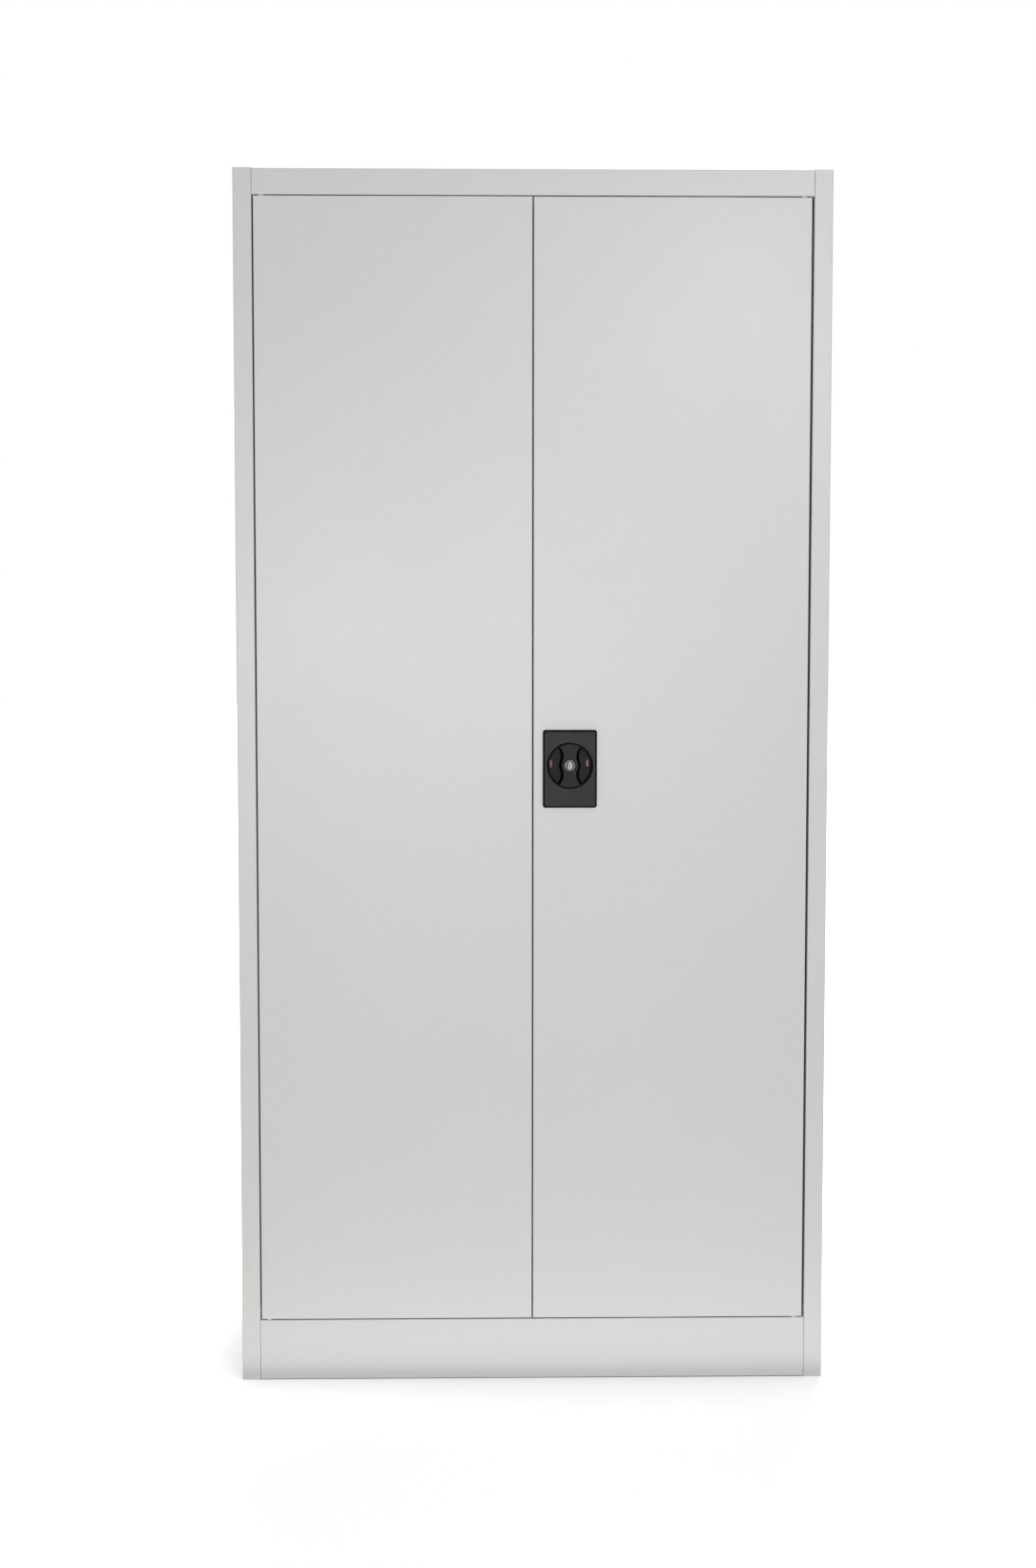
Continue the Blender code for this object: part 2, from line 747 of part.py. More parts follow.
def bush_mesh(nylon):
    """Pivot bush, its face at zero: a body through the sheet and a collar on the far side."""
    bore = PIN_TIP_RADIUS + SEAT
    profile = [
        (bore, 0),
        (BUSH_RADIUS, 0),
        (BUSH_RADIUS, SHEET + SEAT),
        (BUSH_COLLAR_RADIUS, SHEET + SEAT),
        (BUSH_COLLAR_RADIUS, SHEET + SEAT + BUSH_COLLAR_HEIGHT),
        (bore, SHEET + SEAT + BUSH_COLLAR_HEIGHT),
    ]
    return turned_mesh("pivot_bush", profile, nylon, looped=True)


def turned_mesh(name, profile, material, looped=False):
    bm = bmesh.new()
    add_turned(bm, profile, looped=looped)
    mesh = finish_mesh(name, bm, material)
    mesh.shade_smooth()
    mesh.set_sharp_from_angle(angle=SMOOTH_ANGLE)
    return mesh


def make_pivots(pivots, zinc, nylon):
    """A pin in each outer corner of each door, and the bush above or below it."""
    pin = pin_mesh(zinc)
    bush = bush_mesh(nylon)
    for side, pivot in pivots.items():
        x = pivot.location.x
        for end, level, up in (("upper", HEADER_BOTTOM, 1), ("lower", PLINTH_TOP, -1)):
            shoulder = (x, PIVOT_Y, level - up * SEAT)
            new_pin = link(f"pivot_pin_{end}_{side}", pin, shoulder, pivot)
            new_bush = link(f"pivot_bush_{end}_{side}", bush, (x, PIVOT_Y, level))
            if up < 0:
                new_pin.rotation_euler.x = math.pi
                new_bush.rotation_euler.x = math.pi


# Lock

def rounded_rectangle(width, height, radius, centre):
    """Outline with its corners rounded, anticlockwise from the lower right."""
    outline = []
    quarter = math.pi / 2
    for corner, (across, up) in enumerate(((1, -1), (1, 1), (-1, 1), (-1, -1))):
        hub = (
            centre[0] + across * (width / 2 - radius),
            centre[1] + up * (height / 2 - radius),
        )
        for step in range(CORNER_STEPS + 1):
            turn = quarter * (corner - 1 + step / CORNER_STEPS)
            outline.append((hub[0] + radius * math.cos(turn), hub[1] + radius * math.sin(turn)))
    return outline


def plate_screw_heights():
    reach = CUP_RADIUS + SCREW_FROM_CUP
    return (LOCK_HEIGHT + reach, LOCK_HEIGHT - reach)


def make_lock_plate(plastic, pivot):
    """Bevelled plate on the door's face with a round cup that passes through the door."""
    centre = (LOCK_X, LOCK_HEIGHT - PLATE_BELOW_LOCK)
    lock = (LOCK_X, LOCK_HEIGHT)
    steps = ((0, -SEAT), (0, PLATE_BEVEL - PLATE_PROUD), (PLATE_BEVEL, -PLATE_PROUD))
    rings = []
    for inset, level in steps:
        outline = rounded_rectangle(
            PLATE_WIDTH - 2 * inset, PLATE_HEIGHT - 2 * inset, PLATE_CORNER, centre
        )
        rings.append([along_y(x, z, FRONT + level) for x, z in outline])
    bm = bmesh.new()
    add_loft(bm, rings)
    plate = new_object("lock_plate", bm, plastic, pivot=pivot)
    cup = bmesh.new()
    cup_back = FRONT + CUP_DEPTH
    add_cylinder(cup, lock, CUP_RADIUS, FRONT - PLATE_BEVEL, cup_back, along_y, FINE_ROUND)
    combine(plate, cup, "UNION")
    bores = bmesh.new()
    bore_front = FRONT - PLATE_PROUD - OVERRUN
    add_cylinder(bores, lock, CUP_BORE, bore_front, cup_back - CUP_FLOOR, along_y, FINE_ROUND)
    shaft_front = cup_back - CUP_FLOOR - OVERRUN / 2
    add_cylinder(bores, lock, BOSS_RADIUS + SEAT, shaft_front, cup_back + OVERRUN, along_y)
    screw_end = FRONT + SHEET - SCREW_LENGTH
    for z in plate_screw_heights():
        add_cylinder(bores, (LOCK_X, z), SCREW_RADIUS + SEAT, screw_end, FRONT + OVERRUN, along_y)
    combine(plate, bores, "DIFFERENCE")


def make_plate_screw(name, z, zinc, pivot):
    """Screw through the door into the back of the plate."""
    head = FRONT + SHEET + SEAT
    profile = [
        (SCREW_RADIUS, head - SCREW_LENGTH),
        (SCREW_RADIUS, head),
        (SCREW_HEAD_RADIUS, head),
        (SCREW_HEAD_RADIUS, head + SCREW_HEAD_HEIGHT),
    ]
    bm = bmesh.new()
    add_turned(bm, profile, (LOCK_X, z), along_y)
    shade_round(new_object(name, bm, zinc, pivot=pivot))


def grip_half_width(height):
    """Half the grip's width: a bulge round the cylinder, a waist on each side, flared ends."""
    away = abs(height)
    if away < GRIP_WAIST_HEIGHT:
        wave = math.cos(math.pi / 2 * away / GRIP_WAIST_HEIGHT)
        return GRIP_WAIST + GRIP_BULGE * wave**2
    flare_share = (away - GRIP_WAIST_HEIGHT) / (KNOB_RADIUS - GRIP_WAIST_HEIGHT)
    return GRIP_WAIST + GRIP_FLARE * flare_share**2


def grip_outline(spread, shrink):
    """Outline of the grip about the lock's axis, its flanks set out and its ends drawn in."""
    end = KNOB_RADIUS - GRIP_END_INSET - shrink
    top = GRIP_WAIST_HEIGHT
    while math.hypot(grip_half_width(top) + spread, top) < end:
        top += GRIP_END_INSET / 2
    heights = [top * math.sin(math.pi / 2 * i / GRIP_STEPS) for i in range(-GRIP_STEPS, GRIP_STEPS)]
    heights.append(top)
    right = [(grip_half_width(z) + spread, z) for z in heights]
    corner = math.atan2(right[-1][1], right[-1][0])
    arc = []
    for step in range(1, CORNER_STEPS):
        turn = corner + (math.pi - 2 * corner) * step / CORNER_STEPS
        arc.append((end * math.cos(turn), end * math.sin(turn)))
    left = [(-x, z) for x, z in reversed(right)]
    bottom = [(-x, -z) for x, z in arc]
    outline = right + arc + left + bottom
    return [(LOCK_X + x, LOCK_HEIGHT + z) for x, z in outline]


def make_knob(plastic, pivot):
    """Dished knob with its boss and tenon behind, the grip across it and the cylinder's bore."""
    lock = (LOCK_X, LOCK_HEIGHT)
    boss_end = CAM_FACE - SEAT
    profile = []
    for step in range(DISH_STEPS + 1):
        turn = math.pi / 2 * step / DISH_STEPS
        radius = DISH_EDGE - DISH_CURVE * (1 - math.sin(turn))
        profile.append((radius, DISH_FLOOR - DISH_DEPTH * (1 - math.cos(turn))))
    profile += [
        (KNOB_RADIUS, KNOB_FACE),
        (KNOB_RADIUS, KNOB_BACK),
        (BOSS_RADIUS, KNOB_BACK),
        (BOSS_RADIUS, boss_end),
        (TENON_RADIUS, boss_end),
        (TENON_RADIUS, CAM_FACE + CAM_SHEET),
    ]
    bm = bmesh.new()
    add_turned(bm, profile, lock, along_y, FINE_ROUND)
    knob = new_object("lock_knob", bm, plastic, pivot=pivot)
    shade_round(knob)
    grip = bmesh.new()
    face = FRONT - GRIP_PROUD
    steps = (
        (GRIP_SPREAD, 0, (DISH_FLOOR + KNOB_BACK) / 2),
        (0, 0, face + GRIP_CHAMFER),
        (-GRIP_CHAMFER, GRIP_CHAMFER, face),
    )
    rings = []
    for spread, shrink, level in steps:
        rings.append([along_y(x, z, level) for x, z in grip_outline(spread, shrink)])
    add_loft(grip, rings)
    combine(knob, grip, "UNION")
    bores = bmesh.new()
    barrel_end = face + BARREL_SUNK + BARREL_LENGTH + SEAT
    add_cylinder(
        bores, lock, BARREL_RADIUS + SEAT, face - OVERRUN, barrel_end, along_y, FINE_ROUND
    )
    screw_end = CAM_FACE + CAM_SHEET - CAM_SCREW_LENGTH
    add_cylinder(bores, lock, CAM_SCREW_RADIUS + SEAT, screw_end, CAM_FACE + OVERRUN, along_y)
    combine(knob, bores, "DIFFERENCE")


def make_barrel(metal, pivot):
    """Sleeve of the key cylinder, set in the knob."""
    bore = BARREL_RADIUS - BARREL_WALL
    face = FRONT - GRIP_PROUD + BARREL_SUNK
    profile = [
        (bore, face),
        (BARREL_RADIUS - BARREL_CHAMFER, face),
        (BARREL_RADIUS, face + BARREL_CHAMFER),
        (BARREL_RADIUS, face + BARREL_LENGTH),
        (bore, face + BARREL_LENGTH),
    ]
    bm = bmesh.new()
    add_turned(bm, profile, (LOCK_X, LOCK_HEIGHT), along_y, FINE_ROUND, looped=True)
    shade_round(new_object("lock_barrel", bm, metal, pivot=pivot))


def make_key_plug(metal, pivot):
    """The part that the key turns, with an upright keyhole."""
    radius = BARREL_RADIUS - BARREL_WALL - SEAT
    face = FRONT - GRIP_PROUD + BARREL_SUNK + PLUG_SUNK
    profile = [
        (radius - BARREL_CHAMFER, face),
        (radius, face + BARREL_CHAMFER),
        (radius, face + BARREL_LENGTH - PLUG_SUNK),
    ]
    bm = bmesh.new()
    add_turned(bm, profile, (LOCK_X, LOCK_HEIGHT), along_y, 2 * SMALL_ROUND)
    plug = new_object("key_plug", bm, metal, pivot=pivot)
    shade_round(plug)
    keyhole = bmesh.new()
    add_box(
        keyhole,
        (LOCK_X - KEYHOLE_WIDTH / 2, face - OVERRUN, LOCK_HEIGHT - KEYHOLE_HEIGHT / 2),
        (LOCK_X + KEYHOLE_WIDTH / 2, face + KEYHOLE_DEPTH, LOCK_HEIGHT + KEYHOLE_HEIGHT / 2),
    )
    combine(plug, keyhole, "DIFFERENCE")


def cam_outline():
    """Disc with the tongue hanging from it, about the lock's axis."""
    half = TONGUE_WIDTH / 2
    down = -math.pi / 2
    start = down + math.asin(half / CAM_RADIUS)
    sweep = 2 * math.pi - 2 * (start - down)
    outline = []
    for step in range(2 * SMALL_ROUND + 1):
        turn = start + sweep * step / (2 * SMALL_ROUND)
        outline.append((CAM_RADIUS * math.cos(turn), CAM_RADIUS * math.sin(turn)))
    for step in range(2 * CORNER_STEPS + 1):
        turn = math.pi + math.pi * step / (2 * CORNER_STEPS)
        outline.append((half * math.cos(turn), half - TONGUE_REACH + half * math.sin(turn)))
    return [(LOCK_X + x, LOCK_HEIGHT + z) for x, z in outline]


def make_cam(zinc, pivot):
    """Cam on the knob's tenon, with a crank pin for each rod on its back."""
    bm = bmesh.new()
    add_prism(bm, cam_outline(), CAM_FACE, CAM_FACE + CAM_SHEET, along_y)
    cam = new_object("lock_cam", bm, zinc, pivot=pivot)
    pins = bmesh.new()
    root = CAM_FACE + CAM_SHEET / 2
    tip = ROD_FACE + ROD_SHEET + SEAT
    for side in (-1, 1):
        centre = (LOCK_X + side * CRANK_SIDE, LOCK_HEIGHT + side * CRANK_RISE)
        add_cylinder(pins, centre, CRANK_PIN_RADIUS, root, tip, along_y)
    combine(cam, pins, "UNION")
    hole = bmesh.new()
    lock = (LOCK_X, LOCK_HEIGHT)
    low = CAM_FACE - OVERRUN
    high = CAM_FACE + OVERRUN
    add_cylinder(hole, lock, TENON_RADIUS + SEAT, low, high, along_y)
    combine(cam, hole, "DIFFERENCE")


def make_cam_screw(zinc, pivot):
    """Screw that holds the cam on the knob's tenon."""
    head = CAM_FACE + CAM_SHEET + SEAT
    profile = [
        (CAM_SCREW_RADIUS, head - CAM_SCREW_LENGTH),
        (CAM_SCREW_RADIUS, head),
        (CAM_SCREW_HEAD_RADIUS, head),
        (CAM_SCREW_HEAD_RADIUS, head + CAM_SCREW_HEAD_HEIGHT),
    ]
    bm = bmesh.new()
    add_turned(bm, profile, (LOCK_X, LOCK_HEIGHT), along_y)
    shade_round(new_object("cam_screw", bm, zinc, pivot=pivot))


def make_rod(name, side, tip, zinc, pivot):
    """Flat rod from a crank pin to the edge of the door, with a crosswise slot for the pin."""
    x = LOCK_X + side * ROD_OFFSET
    pin = LOCK_HEIGHT + side * CRANK_RISE
    up = math.copysign(1, tip - pin)
    slot = CRANK_PIN_RADIUS + ROD_LIFT_PLAY
    root = pin - up * (slot + ROD_WALL)
    half = ROD_WIDTH / 2
    shoulder = tip - up * ROD_TIP_CHAMFER
    outline = [
        (x - half, root),
        (x + half, root),
        (x + half, shoulder),
        (x + half - ROD_TIP_CHAMFER, tip),
        (x - half + ROD_TIP_CHAMFER, tip),
        (x - half, shoulder),
    ]
    bm = bmesh.new()
    add_prism(bm, outline, ROD_FACE, ROD_FACE + ROD_SHEET, along_y)
    rod = new_object(name, bm, zinc, pivot=pivot)
    cut = bmesh.new()
    reach = ROD_SLOT_LENGTH / 2
    add_box(
        cut,
        (x - reach, ROD_FACE - OVERRUN, pin - slot),
        (x + reach, ROD_FACE + ROD_SHEET + OVERRUN, pin + slot),
    )
    combine(rod, cut, "DIFFERENCE")


def make_rod_guide(name, side, z, zinc, pivot):
    """Bridge over a rod, its feet on the back of the door's face."""
    x = LOCK_X + side * ROD_OFFSET
    foot = FRONT + SHEET + SEAT + GUIDE_SHEET / 2
    web = ROD_FACE + ROD_SHEET + SEAT + GUIDE_SHEET / 2
    leg = ROD_WIDTH / 2 + ROD_PLAY + GUIDE_SHEET / 2
    path = [
        (x - leg - GUIDE_FOOT, foot),
        (x - leg, foot),
        (x - leg, web),
        (x + leg, web),
        (x + leg, foot),
        (x + leg + GUIDE_FOOT, foot),
    ]
    bm = bmesh.new()
    add_folded_strip(bm, path, z - GUIDE_HEIGHT / 2, z + GUIDE_HEIGHT / 2, along_z, GUIDE_SHEET)
    new_object(name, bm, zinc, pivot=pivot)


# The whole cupboard

def clear_scene():
    for obj in list(bpy.data.objects):
        bpy.data.objects.remove(obj)


def make_carcass(paint, rubber):
    make_side_panel("side_panel_left", -1, paint)
    make_side_panel("side_panel_right", 1, paint)
    make_back_panel(paint)
    make_top_panel(paint)
    make_header_rail(paint)
    make_plinth(paint)
    make_floor_panel(paint)
    upper = (HEADER_BOTTOM - STOP_LIP + DOOR_TOP) / 2
    lower = (DOOR_BOTTOM + FLOOR_TOP) / 2
    for x, side in ((-BUFFER_FROM_CENTRE, "left"), (BUFFER_FROM_CENTRE, "right")):
        make_buffer(f"door_buffer_upper_{side}", x, upper, rubber)
        make_buffer(f"door_buffer_lower_{side}", x, lower, rubber)


def make_shelving(paint, zinc):
    """Uprights, and shelves spread evenly over their slots."""
    for side, side_name in ((-1, "left"), (1, "right")):
        make_upright(f"shelf_upright_front_{side_name}", side, FRONT_UPRIGHT_Y, zinc)
        make_upright(f"shelf_upright_back_{side_name}", side, BACK_UPRIGHT_Y, zinc)
    clips = {side: clip_mesh(f"shelf_clip_{side}", side, zinc) for side in (-1, 1)}
    heights = slot_heights()
    step = round((len(heights) + 1) / (SHELF_COUNT + 1))
    for number in range(1, SHELF_COUNT + 1):
        make_shelf(number, heights[step * number - 1], clips, paint)


def make_lock(door_pivot, plastic, metal, zinc):
    make_lock_plate(plastic, door_pivot)
    upper_screw, lower_screw = plate_screw_heights()
    make_plate_screw("plate_screw_upper", upper_screw, zinc, door_pivot)
    make_plate_screw("plate_screw_lower", lower_screw, zinc, door_pivot)
    knob_pivot = new_pivot("knob_axis", (LOCK_X, FRONT, LOCK_HEIGHT))
    make_knob(plastic, knob_pivot)
    make_barrel(metal, knob_pivot)
    make_key_plug(metal, knob_pivot)
    make_cam(zinc, knob_pivot)
    make_cam_screw(zinc, knob_pivot)
    make_rod("lock_rod_upper", -1, DOOR_TOP - SEAT, zinc, door_pivot)
    make_rod("lock_rod_lower", 1, DOOR_BOTTOM + SEAT, zinc, door_pivot)
    make_rod_guide("rod_guide_upper", -1, DOOR_TOP - GUIDE_FROM_DOOR_END, zinc, door_pivot)
    make_rod_guide("rod_guide_lower", 1, DOOR_BOTTOM + GUIDE_FROM_DOOR_END, zinc, door_pivot)


def main():
    clear_scene()
    paint = powder_coat()
    plastic = black_plastic()
    metal = chrome()
    zinc = zinc_steel()
    make_carcass(paint, grey_rubber())
    make_shelving(paint, zinc)
    left_pivot = new_pivot("left_door_axis", Vector((LEFT_PIVOT_X, PIVOT_Y, DOOR_BOTTOM)))
    right_pivot = new_pivot("right_door_axis", Vector((RIGHT_PIVOT_X, PIVOT_Y, DOOR_BOTTOM)))
    make_left_door(paint, left_pivot)
    make_right_door(paint, right_pivot)
    make_stiffener("door_stiffener_left", LEFT_DOOR_OUTER, LEFT_DOOR_CLOSING, paint, left_pivot)
    make_stiffener("door_stiffener_right", RIGHT_DOOR_OUTER, RIGHT_DOOR_CLOSING, paint, right_pivot)
    make_pivots({"left": left_pivot, "right": right_pivot}, zinc, white_nylon())
    make_lock(right_pivot, plastic, metal, zinc)


main()
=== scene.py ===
"""Dresses the frame of a steel storage cupboard and sets a studio round it.

Metres, +Z up, and the doors face -Y. Each piece lies where its node lies in the frame.
"""

import json
import math

import bmesh
import bpy
from bpy.props import FloatProperty, FloatVectorProperty, PointerProperty
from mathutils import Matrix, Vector

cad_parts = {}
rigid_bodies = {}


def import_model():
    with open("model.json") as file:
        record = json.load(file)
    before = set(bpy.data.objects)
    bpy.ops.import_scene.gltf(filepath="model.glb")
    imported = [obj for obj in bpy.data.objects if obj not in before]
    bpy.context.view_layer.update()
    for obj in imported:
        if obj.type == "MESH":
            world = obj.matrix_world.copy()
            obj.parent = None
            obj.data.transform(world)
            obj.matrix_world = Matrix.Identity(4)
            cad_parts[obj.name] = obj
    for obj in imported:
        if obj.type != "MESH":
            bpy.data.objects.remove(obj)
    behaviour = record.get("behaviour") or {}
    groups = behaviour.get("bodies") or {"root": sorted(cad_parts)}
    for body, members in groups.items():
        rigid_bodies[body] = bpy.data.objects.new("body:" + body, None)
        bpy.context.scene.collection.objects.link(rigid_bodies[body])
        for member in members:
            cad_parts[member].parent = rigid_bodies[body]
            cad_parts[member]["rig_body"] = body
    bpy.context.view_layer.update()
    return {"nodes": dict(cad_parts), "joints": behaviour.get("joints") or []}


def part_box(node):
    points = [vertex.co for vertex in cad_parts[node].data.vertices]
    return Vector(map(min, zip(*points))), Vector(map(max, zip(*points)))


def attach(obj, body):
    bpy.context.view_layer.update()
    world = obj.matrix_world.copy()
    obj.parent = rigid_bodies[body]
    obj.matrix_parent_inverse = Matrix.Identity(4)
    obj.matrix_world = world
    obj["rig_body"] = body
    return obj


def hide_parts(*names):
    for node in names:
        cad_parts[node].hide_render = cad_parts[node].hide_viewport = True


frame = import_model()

bl_info = {
    "name": "Steel storage cupboard",
    "version": (1, 0, 0),
    "blender": (4, 5, 0),
    "location": "3D View > Sidebar > Cupboard",
    "description": "Finishes, lock details and studio of a two-door steel cupboard",
    "category": "Object",
}

# Places and sizes that the frame gives
NODES = frame["nodes"]
JOINTS = {joint["name"]: joint for joint in frame["joints"]}
LOCK = Vector(JOINTS["knob_turn"]["pos_m"])
PLATE_LOW, PLATE_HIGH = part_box("lock_plate")
KNOB_LOW, KNOB_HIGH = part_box("lock_knob")
RING_LOW, RING_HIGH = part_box("lock_barrel")
PLUG_LOW, PLUG_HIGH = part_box("key_plug")
KNOB_RADIUS = (KNOB_HIGH.x - KNOB_LOW.x) / 2
RING_RADIUS = (RING_HIGH.x - RING_LOW.x) / 2
PLUG_RADIUS = (PLUG_HIGH.x - PLUG_LOW.x) / 2

# Groups of nodes with the same finish
CARCASS_SHEETS = (
    "side_panel_left", "side_panel_right", "back_panel", "top_panel", "header_rail", "plinth",
    "floor_panel", "shelf_1", "shelf_2", "shelf_3", "shelf_4",
)
DOOR_SHEETS = ("door_left", "door_right", "door_stiffener_left", "door_stiffener_right")
UPRIGHTS = tuple(
    f"shelf_upright_{row}_{side}" for side in ("left", "right") for row in ("front", "back")
)
CLIPS = tuple(sorted(node for node in NODES if "_clip_" in node))
LOCK_STEEL = ("lock_cam", "lock_rod_upper", "lock_rod_lower", "rod_guide_upper", "rod_guide_lower")
BUFFERS = tuple(sorted(node for node in NODES if node.startswith("door_buffer")))
PLATE_SCREWS = ("plate_screw_upper", "plate_screw_lower")

# Steps, angles and distances of the meshes
ROUND = 128
WASHER_ROUND = 48
BUFFER_ROUND = 32
WELD_ROUND, WELD_SECTION_ROUND = 20, 8
SCREW_ROUND, SCREW_RINGS, SHANK_ROUND = 32, 16, 24
CORNER_STEPS = 8
ARC_STEPS = 6
DISH_STEPS = 12
GRIP_STEPS = 36
END_SEARCHES = 40
WELD_DISTANCE = 1e-6
FOLD_ANGLE = math.radians(50)
CREASE_ANGLE = math.radians(32)
OVERRUN = 0.004

# Range of a noise, and places of the colour sockets on a Mix node
NOISE_LOW, NOISE_HIGH = 0.3, 0.7
MIX_COLOUR_A, MIX_COLOUR_B, MIX_COLOUR_RESULT = 6, 7, 2

# Lock plate and knob, with the play of a piece in its seat
SEAT = 0.0003
KNOB_GAP = 0.0016
CUP_WALL = 0.0030
CUP_FLOOR = 0.0015
RIM_SUNK = 0.0002
SHAFT_RADIUS = 0.0063
TENON_SHOULDER = 0.002
GRIP_END_INSET = 0.0003
FLARE_POWER = 2.5
FLANK_SHARES = ((0.45, 0.50), (0.08, 0.22))
# Faces steeper than these take the near-black plastic: painted shade
PLATE_SHADE_STEEPNESS = 0.75
KNOB_SHADE_STEEPNESS = 0.60
PLATE_SPECULAR = 0.22
KNOB_SPECULAR = 0.155
# The dish's floor reflects less than the knob's face: painted shade for its depth
DISH_SHADE_SPECULAR = 0.11

# Position marks
MARK_CENTRES = ((-0.0287, 0.0032), (0.0270, 0.0036))
MARK_CORNER_SHARE = 0.35
MARK_EDGE_SHARES = ((1, -1), (1, 0.6), (0.94, 1))
MARK_RISE_SHARE = 1.6
FIELD_SHARES = (2.2, 1.50)
FIELD_DROP = 0.0018
# A pale patch below the left mark: a painted glint
GLINT_SIZE = (0.0030, 0.0014)
GLINT_DROP = 0.0057
GLINT_RISE_SHARE = 2
# The left mark is the right mark's paint darkened by this share: painted shade
LEFT_MARK_SHADE_SHARE = 0.85

# Key cylinder
RING_INSET = 0.0003
RING_ROUNDING = 0.0004
RING_RIM = 0.0010
RING_GROOVE = 0.0006
PLUG_DISH_SHARES = ((0.30, 1), (0.86, 0.4))
KEYHOLE_FLARE = 0.0003
KEYHOLE_DEPTH = 0.009
RING_ROUGHNESS = 0.30
PLUG_ROUGHNESS = 0.40
GUIDE_ROUGHNESS = 0.18
WARD_SHARES = ((1, 0.10, -1), (1.8, 0.25, -1), (1.8, 0.55, 1), (1, 0.70, 1))
GUIDE_SHARES = ((1, 1), (1, -0.2), (0.8, -0.6), (0.3, -0.6), (0, 0), (0, 2), (0.1, 2))

# Welds, screws and washers
SEAM_END = 0.035
WELD_FROM_SIDE = 0.010
WELD_FROM_EDGE = 0.0075
STIFFENER_SHEET = 0.0008
SCREW_HEAD_HEIGHT = 0.0020
SCREW_SHANK_RADIUS = 0.0015
RECESS_WIDTH_SHARE = 0.26
RECESS_LENGTH_SHARE = 1.1
WASHER_PLAY = 0.0001
WASHER_INSET = 0.0006

# Light, floor and camera
WHITE = (1, 1, 1, 1)
WORLD_LIGHT = 0.40
FLOOR_SIZE = 60
FLOOR_ROUGHNESS = 0.35
FLOOR_MIDDLE = (0.15, -0.9, 0)
FLOOR_NEAR, FLOOR_FAR = 0.6, 1.5
FLOOR_LIFT_NEAR, FLOOR_LIFT_FAR = 0.42, 1.0
# Occlusion within this reach of the cupboard dims the floor's glow: painted contact shadow
CONTACT_SHADOW_REACH = 0.16
SOFT_BOXES = (
    ("soft_box_by_camera", (-0.30, -3.7, 1.12), (-0.2, -0.2, 1.1), (1.5, 0.35), 31),
    ("soft_box_right", (0.80, -3.3, 2.05), (0.3, -0.2, 1.5), (0.5, 0.5), 20),
    ("floor_panel_light", (0.02, -0.40, 0.01), (0.02, -0.40, 1), (1.25, 0.36), 0.85),
    ("soft_box_behind", (0.8, 3.4, 1.9), (0, 0.2, 0.9), (1.5, 1.0), 26),
)
PHOTO_FOCUS = 2290
PHOTO_HEIGHT = 1650
SENSOR = 36
CAMERA_PLACE = (-0.0867, -3.5079, 1.165)
CAMERA_TURN = (85.887, -0.020, -1.098)


# Sizes and colours that a user would change

def length(name, description, default):
    """A size in metres."""
    return FloatProperty(
        name=name, description=description, default=default, min=0, precision=5,
        subtype="DISTANCE", unit="LENGTH",
    )


def colour(name, description, default):
    return FloatVectorProperty(
        name=name, description=description, default=default, min=0, max=1, size=3, subtype="COLOR"
    )


class CupboardSizes(bpy.types.PropertyGroup):
    """Sizes of the details that the frame's solids leave out."""

    plate_edge: length("Plate edge", "Width of the sloping edge round the lock plate", 0.0030)
    plate_corner: length("Plate corner", "Corner radius of the lock plate", 0.0040)
    plate_side: length("Plate side", "Height of the plate's upright side", 0.0024)
    cup_lip: length("Cup lip", "Rounding of the plate where the knob sits in it", 0.0004)
    knob_rim: length("Knob rim", "Width of the knob's raised rim", 0.0007)
    dish_depth: length("Dish depth", "Depth of the dish in the knob", 0.0080)
    dish_curve: length("Dish curve", "Width of the curve where the dish meets its rim", 0.0010)
    grip_waist: length("Grip waist", "Half the width of the grip at its waist", 0.0099)
    grip_waist_height: length("Waist height", "Height of the waist above the lock's middle", 0.0130)
    grip_bulge: length("Grip bulge", "Widening of the grip round the key cylinder", 0.0029)
    grip_flare: length("Grip flare", "Widening of the grip at its ends", 0.0130)
    grip_spread: length("Grip spread", "Slope of the grip's flanks", 0.0041)
    grip_rounding: length("Grip rounding", "Radius of the grip's front edge", 0.0011)
    keyhole_width: length("Keyhole width", "Width of the keyhole", 0.0016)
    keyhole_height: length("Keyhole height", "Height of the keyhole", 0.0075)
    key_guide: length("Key guide", "Width of the bright guide round the keyhole", 0.0009)
    mark_width: length("Mark width", "Width of a position mark in the dish", 0.0032)
    mark_height: length("Mark height", "Height of a position mark in the dish", 0.0098)
    mark_rise: length("Mark rise", "Thickness of the mark's paint", 0.00012)
    weld_pitch: length("Weld pitch", "Distance between spot welds", 0.0700)
    weld_radius: length("Weld radius", "Radius of a spot weld's ring", 0.0024)
    weld_rise: length("Weld rise", "Height of a spot weld's ring", 0.00016)


